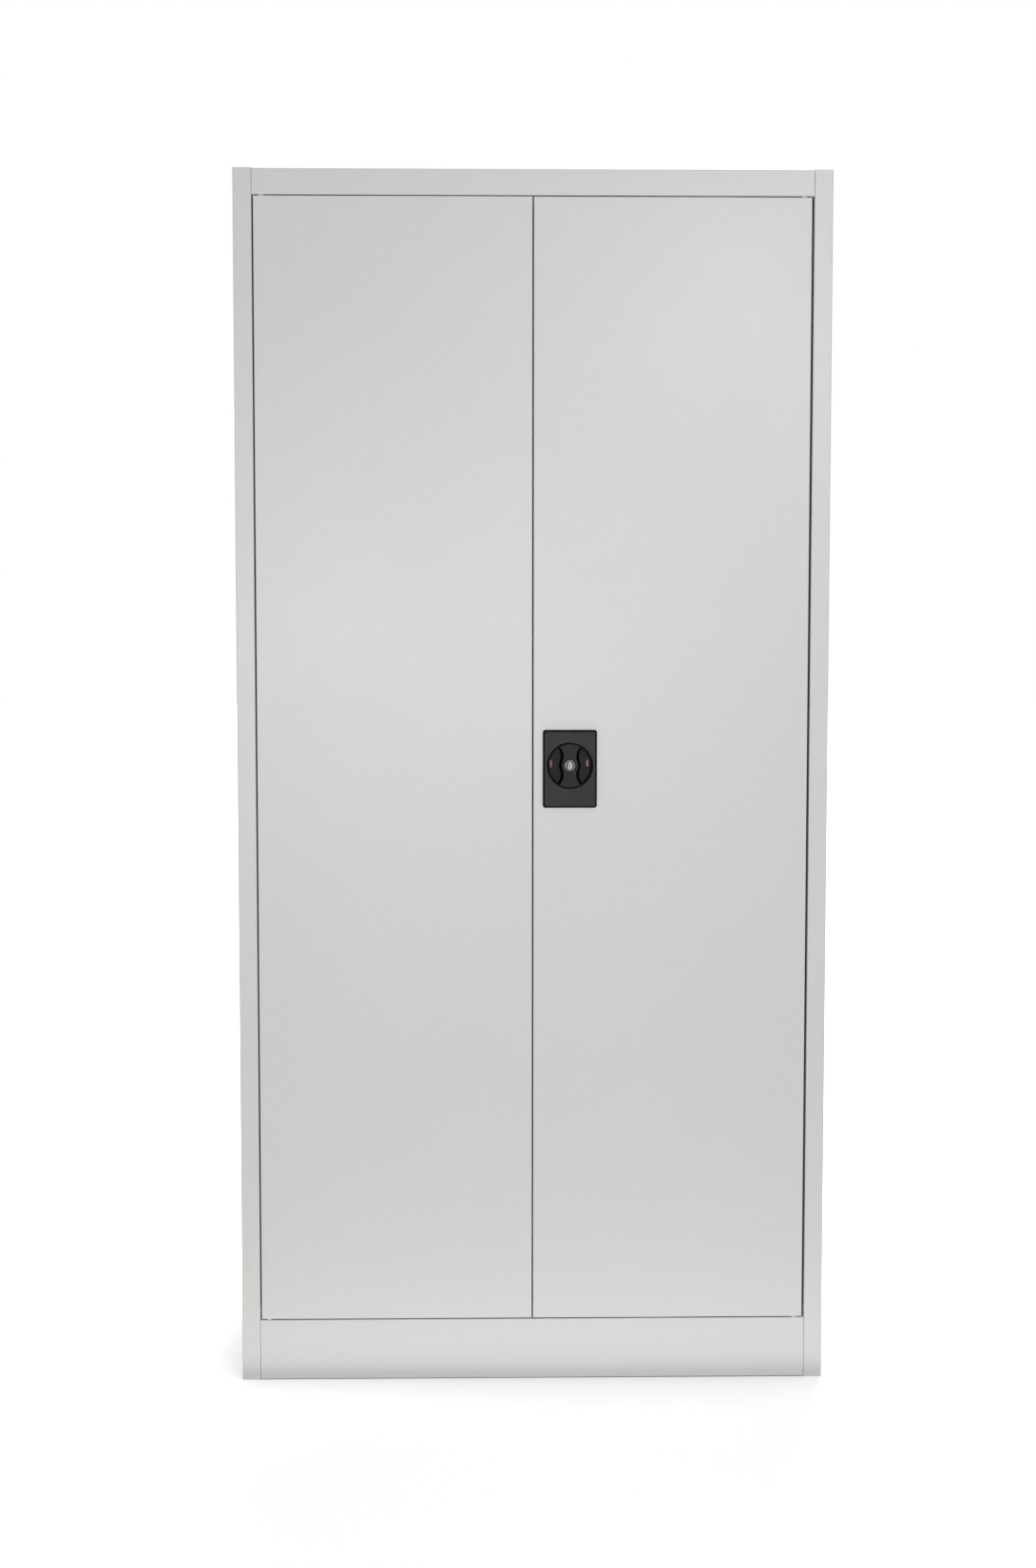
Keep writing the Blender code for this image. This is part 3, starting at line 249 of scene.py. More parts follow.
class CupboardColours(bpy.types.PropertyGroup):
    """Colours of the finishes."""

    paint: colour("Powder coat", "Light grey of the sheet metal", (0.62, 0.62, 0.605))
    plastic: colour("Lock plastic", "Charcoal of the plate and the knob", (0.009, 0.009, 0.0095))
    # Near-black for the steep faces and the knob's rim: painted shade
    flank: colour("Flank plastic", "Black of the smooth flanks", (0.0020, 0.0020, 0.0020))
    mark_field: colour("Mark's field", "Dark red round each position mark", (0.028, 0.002, 0.004))
    mark: colour("Position mark", "Faded mauve of the right mark", (0.30, 0.175, 0.197))
    # Pale patch below the left mark: a painted glint
    mark_painted_glint: colour("Mark's spot", "Pale spot below the left mark", (0.62, 0.55, 0.53))
    # The ring's and plug's colours are dark to stand in for the dark surroundings that chrome
    # reflects: painted reflection
    chrome: colour("Key ring", "Plated metal of the cylinder's ring", (0.095, 0.095, 0.10))
    plug: colour("Key plug", "Metal of the cylinder's plug", (0.10, 0.10, 0.105))
    guide: colour("Key guide", "Bright metal round the keyhole", (0.42, 0.42, 0.43))
    zinc: colour("Zinc plate", "Plated steel of clips, uprights and rods", (0.56, 0.57, 0.58))
    nylon: colour("Nylon", "Off-white of the bushes and washers", (0.78, 0.77, 0.73))
    rubber: colour("Rubber", "Dark grey of the door buffers", (0.10, 0.10, 0.10))
    floor: colour("Floor", "Pale studio floor", (0.90, 0.90, 0.90))


# Node trees

def feed(tree, node, links):
    """Feeds inputs of a node by sockets or values."""
    for key, value in links.items():
        if isinstance(value, bpy.types.NodeSocket):
            tree.links.new(value, node.inputs[key])
        else:
            node.inputs[key].default_value = value


def add_node(tree, kind, links, **settings):
    """A new node with these settings and its inputs fed."""
    node = tree.nodes.new(kind)
    for name, value in settings.items():
        setattr(node, name, value)
    feed(tree, node, links)
    return node


def add_math(tree, operation, *values):
    """The output of a Math node fed by numbers or sockets."""
    return add_node(tree, "ShaderNodeMath", dict(enumerate(values)), operation=operation).outputs[0]


def new_tree(name, kind, inputs, output):
    """A node group with its sockets, each a name, a kind and, where it has one, a value.

    Returns the group, the sockets that it is given and the one that it sends out.
    """
    tree = bpy.data.node_groups.new(name, f"{kind}NodeTree")
    for way, sockets in (("INPUT", inputs), ("OUTPUT", (output,))):
        for label, sort, *value in sockets:
            socket = tree.interface.new_socket(label, in_out=way, socket_type=f"NodeSocket{sort}")
            if value:
                socket.default_value = value[0]
    given = tree.nodes.new("NodeGroupInput").outputs
    return tree, given, tree.nodes.new("NodeGroupOutput").inputs[0]


# Shader groups

def add_noise(tree, vector, size, detail):
    """Noise whose lumps are as wide as the size, from 0 to 1."""
    links = {"Vector": vector, "Scale": add_math(tree, "DIVIDE", 1, size), "Detail": detail}
    return add_node(tree, "ShaderNodeTexNoise", links).outputs["Fac"]


def add_mix(tree, share, first, second):
    links = {"Factor": share, "A": first, "B": second}
    return add_node(tree, "ShaderNodeMix", links).outputs["Result"]


def surface_grain(tree, given):
    """Height of a coat or moulding: broad ripples with a fine grain on them."""
    ripple = add_noise(tree, given["Vector"], given["Ripple Size"], 1)
    grain = add_noise(tree, given["Vector"], given["Grain Size"], 2)
    return add_mix(tree, given["Grain Share"], ripple, grain)


def colour_drift(tree, given):
    """A colour that drifts lighter and darker over broad patches and small specks."""
    patch = add_noise(tree, given["Vector"], given["Patch Size"], 3)
    speck = add_noise(tree, given["Vector"], given["Speck Size"], 1)
    both = add_mix(tree, given["Speck Share"], patch, speck)
    links = {"Value": both, "From Min": NOISE_LOW, "From Max": NOISE_HIGH}
    spread = add_node(tree, "ShaderNodeMapRange", links).outputs["Result"]
    links = {"Factor": spread, MIX_COLOUR_A: given["Colour"], MIX_COLOUR_B: given["Second Colour"]}
    return add_node(tree, "ShaderNodeMix", links, data_type="RGBA").outputs[MIX_COLOUR_RESULT]


def handled_gloss(tree, given):
    """Roughness that varies where hands and cloths have been."""
    noise = add_noise(tree, given["Vector"], given["Patch Size"], 4)
    swing = add_math(tree, "MULTIPLY_ADD", noise, 2, -1)
    swing = add_math(tree, "MULTIPLY", swing, given["Spread"])
    return add_math(tree, "ADD", given["Roughness"], swing)


GRAIN_SOCKETS = (
    ("Ripple Size", "Float", 0.003), ("Grain Size", "Float", 0.0006), ("Grain Share", "Float", 0.4),
)
DRIFT_SOCKETS = (
    ("Colour", "Color", (0.5, 0.5, 0.5, 1)), ("Second Colour", "Color", (0.5, 0.5, 0.5, 1)),
    ("Patch Size", "Float", 0.3), ("Speck Size", "Float", 0.002), ("Speck Share", "Float", 0.3),
)
GLOSS_SOCKETS = (
    ("Roughness", "Float", 0.5), ("Spread", "Float", 0.05), ("Patch Size", "Float", 0.1),
)
SHADER_GROUPS = {
    "surface_grain": (surface_grain, GRAIN_SOCKETS, ("Height", "Float")),
    "colour_drift": (colour_drift, DRIFT_SOCKETS, ("Colour", "Color")),
    "handled_gloss": (handled_gloss, GLOSS_SOCKETS, ("Roughness", "Float")),
}


def shader_group(name):
    """The shader group of this name, built if it isn't there yet."""
    if name not in bpy.data.node_groups:
        build, sockets, output = SHADER_GROUPS[name]
        tree, given, result = new_tree(name, "Shader", (("Vector", "Vector"), *sockets), output)
        tree.links.new(build(tree, given), result)
    return bpy.data.node_groups[name]


# Finishes

def add_group(tree, name, *values):
    """Places a shader group and feeds its inputs in their order. Returns its output."""
    links = dict(enumerate(values))
    return add_node(tree, "ShaderNodeGroup", links, node_tree=shader_group(name)).outputs[0]


def new_finish(
    name, base, metallic=0.0, specular=0.5, stretch=(1, 1, 1), *, lighter, darker, patch, speck,
    speck_share, roughness, spread, gloss_patch, ripple, grain, grain_share, bump, depth,
):
    """A Principled material whose colour, gloss and bump come from the shader groups.

    The stretch makes the pattern longer along an axis. A material that is there already is kept.
    """
    if name in bpy.data.materials:
        return bpy.data.materials[name]
    material = bpy.data.materials.new(name)
    material.use_nodes = True
    tree = material.node_tree
    place = tree.nodes.new("ShaderNodeTexCoord").outputs["Object"]
    scale = tuple(1 / times for times in stretch)
    vector = add_node(tree, "ShaderNodeMapping", {"Vector": place, "Scale": scale}).outputs["Vector"]
    tones = [(*(channel * factor for channel in base), 1) for factor in (darker, lighter)]
    drift = add_group(tree, "colour_drift", vector, *tones, patch, speck, speck_share)
    gloss = add_group(tree, "handled_gloss", vector, roughness, spread, gloss_patch)
    height = add_group(tree, "surface_grain", vector, ripple, grain, grain_share)
    links = {"Strength": bump, "Distance": depth, "Height": height}
    normal = add_node(tree, "ShaderNodeBump", links).outputs["Normal"]
    links = {"Base Color": drift, "Roughness": gloss, "Normal": normal}
    links.update({"Metallic": metallic, "Specular IOR Level": specular})
    feed(tree, tree.nodes["Principled BSDF"], links)
    return material


def powder_coat():
    return new_finish(
        "light_grey_powder_coat", bpy.context.scene.cupboard_colours.paint,
        lighter=1.012, darker=0.988, patch=0.35, speck=0.0022, speck_share=0.35,
        roughness=0.37, spread=0.04, gloss_patch=0.25,
        ripple=0.0028, grain=0.0007, grain_share=0.35, bump=0.35, depth=0.00006,
    )


def charcoal_plastic(name, specular):
    """Textured moulding, as on the faces that show from the front."""
    return new_finish(
        name, bpy.context.scene.cupboard_colours.plastic, specular=specular,
        lighter=1.10, darker=0.90, patch=0.03, speck=0.0008, speck_share=0.5,
        roughness=0.47, spread=0.06, gloss_patch=0.02,
        ripple=0.0012, grain=0.0004, grain_share=0.6, bump=0.5, depth=0.00005,
    )


def painted_shade_plastic():
    """Smooth, near-black moulding for the steep faces and the knob's rim. Its darker colour is painted
    shade, standing in for the shadow on these faces.
    """
    return new_finish(
        "flank_painted_shade", bpy.context.scene.cupboard_colours.flank, specular=0.06,
        lighter=1.10, darker=0.90, patch=0.02, speck=0.0008, speck_share=0.4,
        roughness=0.38, spread=0.05, gloss_patch=0.01,
        ripple=0.0016, grain=0.0004, grain_share=0.4, bump=0.2, depth=0.00003,
    )


def mark_paint(name, base):
    return new_finish(
        name, base, specular=0.10,
        lighter=1.15, darker=0.85, patch=0.012, speck=0.0006, speck_share=0.3,
        roughness=0.40, spread=0.08, gloss_patch=0.004,
        ripple=0.0010, grain=0.0003, grain_share=0.5, bump=0.4, depth=0.00003,
    )


def plated_metal(name, base, roughness):
    return new_finish(
        name, base, metallic=1.0,
        lighter=1.30, darker=0.70, patch=0.0022, speck=0.0005, speck_share=0.4,
        roughness=roughness, spread=0.08, gloss_patch=0.003,
        ripple=0.0015, grain=0.0002, grain_share=0.5, bump=0.15, depth=0.00002,
    )


def bright_zinc():
    return new_finish(
        "bright_zinc_plate", bpy.context.scene.cupboard_colours.zinc, metallic=1.0,
        stretch=(1, 1, 12), lighter=1.10, darker=0.86, patch=0.012, speck=0.0015, speck_share=0.5,
        roughness=0.36, spread=0.12, gloss_patch=0.010,
        ripple=0.0030, grain=0.0006, grain_share=0.6, bump=0.3, depth=0.00004,
    )


def white_nylon():
    return new_finish(
        "white_nylon", bpy.context.scene.cupboard_colours.nylon,
        lighter=1.03, darker=0.95, patch=0.006, speck=0.0008, speck_share=0.3,
        roughness=0.45, spread=0.05, gloss_patch=0.004,
        ripple=0.0016, grain=0.0004, grain_share=0.4, bump=0.3, depth=0.00003,
    )


def soft_rubber():
    return new_finish(
        "dark_rubber", bpy.context.scene.cupboard_colours.rubber,
        lighter=1.20, darker=0.85, patch=0.006, speck=0.0006, speck_share=0.5,
        roughness=0.80, spread=0.08, gloss_patch=0.004,
        ripple=0.0012, grain=0.0004, grain_share=0.5, bump=0.5, depth=0.00005,
    )


# Meshes

def body_of(node):
    return NODES[node]["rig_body"]


def new_object(name, data):
    """An object with this data, linked to the scene."""
    obj = bpy.data.objects.new(name, data)
    bpy.context.scene.collection.objects.link(obj)
    return obj


def add_piece(name, mesh, material, body, replaced=()):
    """Links the mesh as a piece of a body, in place of the nodes that it stands for."""
    mesh.materials.clear()
    mesh.materials.append(material)
    piece = new_object(name, mesh)
    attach(piece, body)
    if replaced:
        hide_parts(*replaced)
    return piece


def shade_flats_and_folds(piece):
    """Large faces keep their own normal, and the narrow ones beside them shade round."""
    modifier = piece.modifiers.new("Weighted Normal", "WEIGHTED_NORMAL")
    modifier.keep_sharp = True
    modifier.weight = 100


def creased(mesh, angle=CREASE_ANGLE):
    """The mesh, shaded round but for edges sharper than the angle."""
    mesh.shade_smooth()
    mesh.set_sharp_from_angle(angle=angle)
    return mesh


def plain_mesh(obj):
    """The mesh that the object's modifiers make. The object is removed."""
    bpy.context.view_layer.update()
    graph = bpy.context.evaluated_depsgraph_get()
    mesh = bpy.data.meshes.new_from_object(obj.evaluated_get(graph))
    bpy.data.objects.remove(obj)
    return mesh


def combined(name, base, steps):
    """The base mesh after meshes have been joined to it or cut from it."""
    obj = new_object(name, base)
    tools = []
    for operation, mesh in steps:
        tool = new_object(operation, mesh)
        modifier = obj.modifiers.new(operation, "BOOLEAN")
        modifier.operation = operation
        modifier.solver = "EXACT"
        modifier.object = tool
        tools.append(tool)
    mesh = plain_mesh(obj)
    for tool in tools:
        bpy.data.objects.remove(tool)
    mesh.name = name
    return creased(mesh)


def add_loft(bm, rings, looped=False):
    """Joins rings of points with faces: capped at both ends, or looped back to the first ring."""
    made = [[bm.verts.new(point) for point in ring] for ring in rings]
    pairs = list(zip(made, made[1:]))
    if looped:
        pairs.append((made[-1], made[0]))
    else:
        bm.faces.new(made[0])
        bm.faces.new(made[-1])
    count = len(made[0])
    for lower, upper in pairs:
        for i in range(count):
            j = (i + 1) % count
            bm.faces.new((lower[i], lower[j], upper[j], upper[i]))


def lofted(name, *stacks, looped=False):
    """Mesh data of one or more stacks of rings, with its faces turned outwards."""
    bm = bmesh.new()
    for rings in stacks:
        add_loft(bm, rings, looped)
    bmesh.ops.recalc_face_normals(bm, faces=bm.faces)
    mesh = bpy.data.meshes.new(name)
    bm.to_mesh(mesh)
    bm.free()
    return mesh


def circle(radius, centre, count):
    """Points round a centre, given by its two coordinates."""
    across, up = centre
    turns = [2 * math.pi * i / count for i in range(count)]
    return [(across + radius * math.cos(turn), up + radius * math.sin(turn)) for turn in turns]


def rings_along_y(profile, centre, count=ROUND):
    """A ring about a line along Y through the centre for each radius and level of the profile."""
    rings = []
    for radius, level in profile:
        points = circle(radius, (centre.x, centre.z), count)
        rings.append([(x, level, z) for x, z in points])
    return rings


def turned(name, profile, looped=False):
    """A mesh of (radius, level) points turned about the lock's axis."""
    return lofted(name, rings_along_y(profile, LOCK), looped=looped)


def placed(outline, level, centre_x=LOCK.x, centre_z=LOCK.z):
    """The outline's points in the frame, at a level along Y."""
    return [(centre_x + x, level, centre_z + z) for x, z in outline]


def rounding(steps=ARC_STEPS):
    """Steps of a quarter round, as shares of its radius: the run still left and the rise done."""
    turns = [math.pi / 2 * step / steps for step in range(steps + 1)]
    return [(1 - math.sin(turn), 1 - math.cos(turn)) for turn in turns]


def rounded_rectangle(width, height, radius):
    """Outline about zero with its corners rounded."""
    outline = []
    for corner, (across, up) in enumerate(((1, -1), (1, 1), (-1, 1), (-1, -1))):
        x = across * (width / 2 - radius)
        z = up * (height / 2 - radius)
        for step in range(CORNER_STEPS + 1):
            turn = math.pi / 2 * (corner - 1 + step / CORNER_STEPS)
            outline.append((x + radius * math.cos(turn), z + radius * math.sin(turn)))
    return outline


def add_welded_copies(nodes, ending, material):
    """Replaces each node by a copy of the same shape, its folds shaded round."""
    for node in nodes:
        bm = bmesh.new()
        bm.from_mesh(NODES[node].data)
        bmesh.ops.remove_doubles(bm, verts=bm.verts, dist=WELD_DISTANCE)
        mesh = bpy.data.meshes.new(node)
        bm.to_mesh(mesh)
        bm.free()
        creased(mesh, FOLD_ANGLE)
        name = f"{node}_{ending}"
        piece = add_piece(name, mesh, material, body_of(node), (node,))
        shade_flats_and_folds(piece)


# Pieces made by Geometry Nodes

def new_geometry_tree(name, inputs):
    """A geometry tree that is given its geometry, the inputs and a material."""
    geometry = ("Geometry", "Geometry")
    inputs = (geometry, *inputs, ("Material", "Material"))
    return new_tree(name, "Geometry", inputs, geometry)


def add_vector(tree, x, y, z):
    return add_node(tree, "ShaderNodeCombineXYZ", {"X": x, "Y": y, "Z": z}).outputs[0]


def changed(tree, geometry, change, vector):
    """The geometry after a Translation or a Scale."""
    links = {"Geometry": geometry, change: vector}
    return add_node(tree, "GeometryNodeTransform", links).outputs[0]


def add_block(tree, x, y, z):
    return add_node(tree, "GeometryNodeMeshCube", {"Size": add_vector(tree, x, y, z)}).outputs[0]


def set_out(tree, given, result, points, instance):
    """Sends out an instance on each point, +Z to the point's facing, as one painted mesh."""
    facing = add_node(
        tree, "GeometryNodeInputNamedAttribute", {"Name": "facing"}, data_type="FLOAT_VECTOR"
    )
    align = add_node(
        tree, "FunctionNodeAlignRotationToVector", {"Vector": facing.outputs["Attribute"]}, axis="Z"
    )
    links = {"Points": points, "Instance": instance, "Rotation": align.outputs["Rotation"]}
    marks = add_node(tree, "GeometryNodeInstanceOnPoints", links)
    real = add_node(tree, "GeometryNodeRealizeInstances", {"Geometry": marks.outputs[0]})
    smooth = add_node(tree, "GeometryNodeSetShadeSmooth", {"Geometry": real.outputs[0]})
    links = {"Geometry": smooth.outputs[0], "Material": given["Material"]}
    painted = add_node(tree, "GeometryNodeSetMaterial", links)
    tree.links.new(painted.outputs[0], result)


def spot_weld_tree():
    """Rings pressed up by spot welds, spread along lines at an even pitch."""
    tree, given, result = new_geometry_tree("spot_welds", (
        ("Pitch", "Float", 0.07), ("Ring Radius", "Float", 0.0024), ("Rise", "Float", 0.00016),
    ))
    line = add_node(tree, "GeometryNodeMeshToCurve", {"Mesh": given["Geometry"]})
    links = {"Curve": line.outputs[0], "Length": given["Pitch"]}
    spread = add_node(tree, "GeometryNodeResampleCurve", links, mode="LENGTH")
    links = {"Resolution": WELD_ROUND, "Radius": given["Ring Radius"]}
    path = add_node(tree, "GeometryNodeCurvePrimitiveCircle", links)
    third = add_math(tree, "DIVIDE", given["Ring Radius"], 3)
    links = {"Resolution": WELD_SECTION_ROUND, "Radius": third}
    section = add_node(tree, "GeometryNodeCurvePrimitiveCircle", links)
    links = {"Curve": path.outputs["Curve"], "Profile Curve": section.outputs["Curve"]}
    ring = add_node(tree, "GeometryNodeCurveToMesh", links)
    flat_share = add_math(tree, "DIVIDE", given["Rise"], third)
    flat = changed(tree, ring.outputs[0], "Scale", add_vector(tree, 1, 1, flat_share))
    set_out(tree, given, result, spread.outputs[0], flat)
    return tree


def screw_tree():
    """Pan-head screws with a crossed recess and a shank, one on each point."""
    tree, given, result = new_geometry_tree("cross_recess_screws", (
        ("Head Radius", "Float", 0.0035), ("Head Height", "Float", SCREW_HEAD_HEIGHT),
        ("Shank Radius", "Float", SCREW_SHANK_RADIUS), ("Shank Length", "Float", 0.0045),
    ))
    radius, height = given["Head Radius"], given["Head Height"]
    links = {"Segments": SCREW_ROUND, "Rings": SCREW_RINGS, "Radius": 1}
    ball = add_node(tree, "GeometryNodeMeshUVSphere", links)
    dome = changed(tree, ball.outputs[0], "Scale", add_vector(tree, radius, radius, height))
    beyond = add_math(tree, "MULTIPLY", radius, 3)
    below = add_vector(tree, 0, 0, add_math(tree, "MULTIPLY", height, -0.5))
    cutters = [changed(tree, add_block(tree, beyond, beyond, height), "Translation", below)]
    wide = add_math(tree, "MULTIPLY", radius, RECESS_LENGTH_SHARE)
    narrow = add_math(tree, "MULTIPLY", radius, RECESS_WIDTH_SHARE)
    above = add_vector(tree, 0, 0, height)
    for across, along in ((wide, narrow), (narrow, wide)):
        slot = add_block(tree, across, along, height)
        cutters.append(changed(tree, slot, "Translation", above))
    head = add_node(tree, "GeometryNodeMeshBoolean", {"Mesh 1": dome}, operation="DIFFERENCE")
    for cutter in cutters:
        tree.links.new(cutter, head.inputs["Mesh 2"])
    shank_length = given["Shank Length"]
    links = {"Vertices": SHANK_ROUND, "Radius": given["Shank Radius"], "Depth": shank_length}
    shank = add_node(tree, "GeometryNodeMeshCylinder", links)
    down = add_vector(tree, 0, 0, add_math(tree, "MULTIPLY", shank_length, -0.5))
    lowered = changed(tree, shank.outputs["Mesh"], "Translation", down)
    both = tree.nodes.new("GeometryNodeJoinGeometry")
    for geometry in (head.outputs[0], lowered):
        tree.links.new(geometry, both.inputs[0])
    set_out(tree, given, result, given["Geometry"], both.outputs[0])
    return tree


def mesh_from_tree(name, tree, places, values):
    """Runs a geometry tree over chains of places, each with its facing, and keeps the mesh."""
    points = [point for chain, facing in places for point in chain]
    edges = []
    facings = []
    for chain, facing in places:
        start = len(facings)
        edges += [(start + i, start + i + 1) for i in range(len(chain) - 1)]
        facings += [facing] * len(chain)
    mesh = bpy.data.meshes.new(name)
    mesh.from_pydata(points, edges, [])
    attribute = mesh.attributes.new("facing", "FLOAT_VECTOR", "POINT")
    for item, facing in zip(attribute.data, facings):
        item.vector = facing
    obj = new_object(name, mesh)
    modifier = obj.modifiers.new(name, "NODES")
    modifier.node_group = tree
    inputs = [item for item in tree.interface.items_tree if item.in_out == "INPUT"]
    identifiers = {item.name: item.identifier for item in inputs}
    for label, value in values.items():
        modifier[identifiers[label]] = value
    result = plain_mesh(obj)
    result.name = name
    return result


# The lock

def grip_half_width(sizes, height):
    """Half the grip's width: a bulge round the cylinder, a waist on each side, flared ends."""
    away = abs(height)
    waist = sizes.grip_waist_height
    if away < waist:
        return sizes.grip_waist + sizes.grip_bulge * math.cos(math.pi / 2 * away / waist) ** 2
    flare_share = (away - waist) / (KNOB_RADIUS - waist)
    return sizes.grip_waist + sizes.grip_flare * flare_share**FLARE_POWER


def end_height(sizes, spread, radius):
    """Height where the grip's flank, set out by the spread, meets a circle about the lock."""
    low, high = sizes.grip_waist_height, radius
    for _ in range(END_SEARCHES):
        height = (low + high) / 2
        if math.hypot(grip_half_width(sizes, height) + spread, height) < radius:
            low = height
        else:
            high = height
    return low


def grip_outline(sizes, spread, shrink=0):
    """Outline of the grip about the lock's axis, its flanks set out and its ends drawn in."""
    end = KNOB_RADIUS - GRIP_END_INSET - shrink
    top = end_height(sizes, spread, end)
    steps = range(-GRIP_STEPS, GRIP_STEPS + 1)
    heights = [top * math.sin(math.pi / 2 * step / GRIP_STEPS) for step in steps]
    right = [(grip_half_width(sizes, z) + spread, z) for z in heights]
    corner = math.atan2(right[-1][1], right[-1][0])
    arc = []
    for step in range(1, GRIP_STEPS):
        turn = corner + (math.pi - 2 * corner) * step / GRIP_STEPS
        arc.append((end * math.cos(turn), end * math.sin(turn)))
    left = [(-x, z) for x, z in reversed(right)]
    bottom = [(-x, -z) for x, z in arc]
    return right + arc + left + bottom


def dish_profile(sizes):
    """Radii and levels of the dish, flat in the middle and curving up to the knob's rim."""
    edge = KNOB_RADIUS - sizes.knob_rim
    floor = PLATE_LOW.y + RIM_SUNK + sizes.dish_depth
    return [
        (edge - sizes.dish_curve * run, floor - sizes.dish_depth * rise)
        for run, rise in rounding(DISH_STEPS)
    ]


class CUPBOARD_OT_lock_plate(bpy.types.Operator):
    """Make the lock plate with its sloping edge and the cup that the knob turns in"""

    bl_idname = "cupboard.lock_plate"
    bl_label = "Lock plate"

    def execute(self, context):
        sizes = context.scene.cupboard_sizes
        width = PLATE_HIGH.x - PLATE_LOW.x
        height = PLATE_HIGH.z - PLATE_LOW.z
        centre = (PLATE_LOW + PLATE_HIGH) / 2
        front, back = PLATE_LOW.y, PLATE_HIGH.y
        rise = LOCK.y - front
        side_share = sizes.plate_side / rise
        slope_shares = (
            (0, 0), (0, 0.8 * side_share), (0.06, side_share), (0.20, 1.25 * side_share),
            (0.80, 0.90), (0.95, 0.975), (1.15, 1.0),
        )
        rings = []
        for inset_share, rise_share in slope_shares:
            inset = inset_share * sizes.plate_edge
            outline = rounded_rectangle(width - 2 * inset, height - 2 * inset, sizes.plate_corner)
            level = LOCK.y - SEAT - (rise - SEAT) * rise_share
            rings.append(placed(outline, level, centre.x, centre.z))
        bore = KNOB_RADIUS + KNOB_GAP
        wall = bore + CUP_WALL
        lip = sizes.cup_lip
        cup = [(wall, LOCK.y - sizes.plate_side), (wall, back)]
        hollow = [(bore + lip + OVERRUN, front - OVERRUN)]
        hollow += [(bore + lip * run, front + lip * fall) for run, fall in rounding()]
        hollow.append((bore, back - CUP_FLOOR))
        shaft = [(SHAFT_RADIUS, front - OVERRUN), (SHAFT_RADIUS, back + OVERRUN)]
        steps = (
            ("UNION", turned("cup", cup)),
            ("DIFFERENCE", turned("hollow", hollow)),
            ("DIFFERENCE", turned("shaft", shaft)),
        )
        mesh = combined("lock_escutcheon", lofted("plate", rings), steps)
        plastic = charcoal_plastic("charcoal_plate", PLATE_SPECULAR)
        piece = add_piece(
            "lock_escutcheon", mesh, plastic, "door_right", ("lock_plate",)
        )
        # The plate's steep sides and the cup's wall take the near-black plastic: painted shade
        piece.data.materials.append(painted_shade_plastic())
        for face in piece.data.polygons:
            face.material_index = 1 if abs(face.normal.y) < PLATE_SHADE_STEEPNESS else 0
        shade_flats_and_folds(piece)
        return {"FINISHED"}


class CUPBOARD_OT_turn_knob(bpy.types.Operator):
    """Make the dished knob with its waisted grip and the bore for the key cylinder"""

    bl_idname = "cupboard.turn_knob"
    bl_label = "Turning knob"

    def execute(self, context):
        sizes = context.scene.cupboard_sizes
        face = KNOB_LOW.y
        back = PLATE_HIGH.y - CUP_FLOOR - SEAT
        profile = dish_profile(sizes)
        floor, rim = profile[0][1], profile[-1][1]
        lip = sizes.knob_rim / 2
        profile += [(KNOB_RADIUS - lip * run, rim + lip * fall) for run, fall in rounding()]
        boss = SHAFT_RADIUS - SEAT
        tenon = boss - TENON_SHOULDER
        boss_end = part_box("lock_cam")[0].y - SEAT
        profile += [(KNOB_RADIUS, back), (boss, back), (boss, boss_end)]
        profile += [(tenon, boss_end), (tenon, KNOB_HIGH.y)]
        spread = sizes.grip_spread
        foot = grip_outline(sizes, spread)
        rings = [placed(foot, (floor + back) / 2), placed(foot, floor)]
        for flank_share, depth_share in FLANK_SHARES:
            outline = grip_outline(sizes, flank_share * spread)
            rings.append(placed(outline, face + depth_share * sizes.dish_depth))
        for fall, run in rounding():
            inset = sizes.grip_rounding * run
            rings.append(placed(grip_outline(sizes, -inset, inset), face + sizes.grip_rounding * fall))
        bore = RING_RADIUS + SEAT
        well = [
            (bore + SEAT + OVERRUN, face - OVERRUN), (bore, face + SEAT), (bore, RING_HIGH.y + SEAT),
        ]
        steps = (("UNION", lofted("grip", rings)), ("DIFFERENCE", turned("barrel_bore", well)))
        mesh = combined("turning_knob", turned("dish", profile), steps)
        plastic = charcoal_plastic("charcoal_knob", KNOB_SPECULAR)
        piece = add_piece("turning_knob", mesh, plastic, "knob", ("lock_knob",))
        piece.data.materials.append(painted_shade_plastic())
        # The dish's floor takes a less glossy copy of the knob's plastic: painted shade for its depth
        piece.data.materials.append(charcoal_plastic("charcoal_dish_painted_shade", DISH_SHADE_SPECULAR))
        # Steep faces and the knob's rim take the near-black plastic: painted shade
        for polygon in piece.data.polygons:
            middle = polygon.center
            radius = math.hypot(middle.x - LOCK.x, middle.z - LOCK.z)
            shaded_rim = radius > KNOB_RADIUS - sizes.knob_rim and middle.y > rim - lip
            if abs(polygon.normal.y) < KNOB_SHADE_STEEPNESS or shaded_rim:
                polygon.material_index = 1
            elif abs(middle.y - floor) < SEAT:
                polygon.material_index = 2
        shade_flats_and_folds(piece)
        return {"FINISHED"}


def add_dish_patches(name, patches, rise, paint):
    """Coats of paint on the dish's floor, each a rounded rectangle of a width and height."""
    floor = dish_profile(bpy.context.scene.cupboard_sizes)[0][1]
    stacks = []
    for centre_x, centre_z, width, height in patches:
        rings = []
        for share, rise_share in MARK_EDGE_SHARES:
            inset = (1 - share) * width / 2
            corner = MARK_CORNER_SHARE * (width - 2 * inset)
            outline = rounded_rectangle(width - 2 * inset, height - 2 * inset, corner)
            level = floor - rise_share * rise
            rings.append(placed(outline, level, LOCK.x + centre_x, LOCK.z + centre_z))
        stacks.append(rings)
    add_piece(name, creased(lofted(name, *stacks)), paint, "knob")


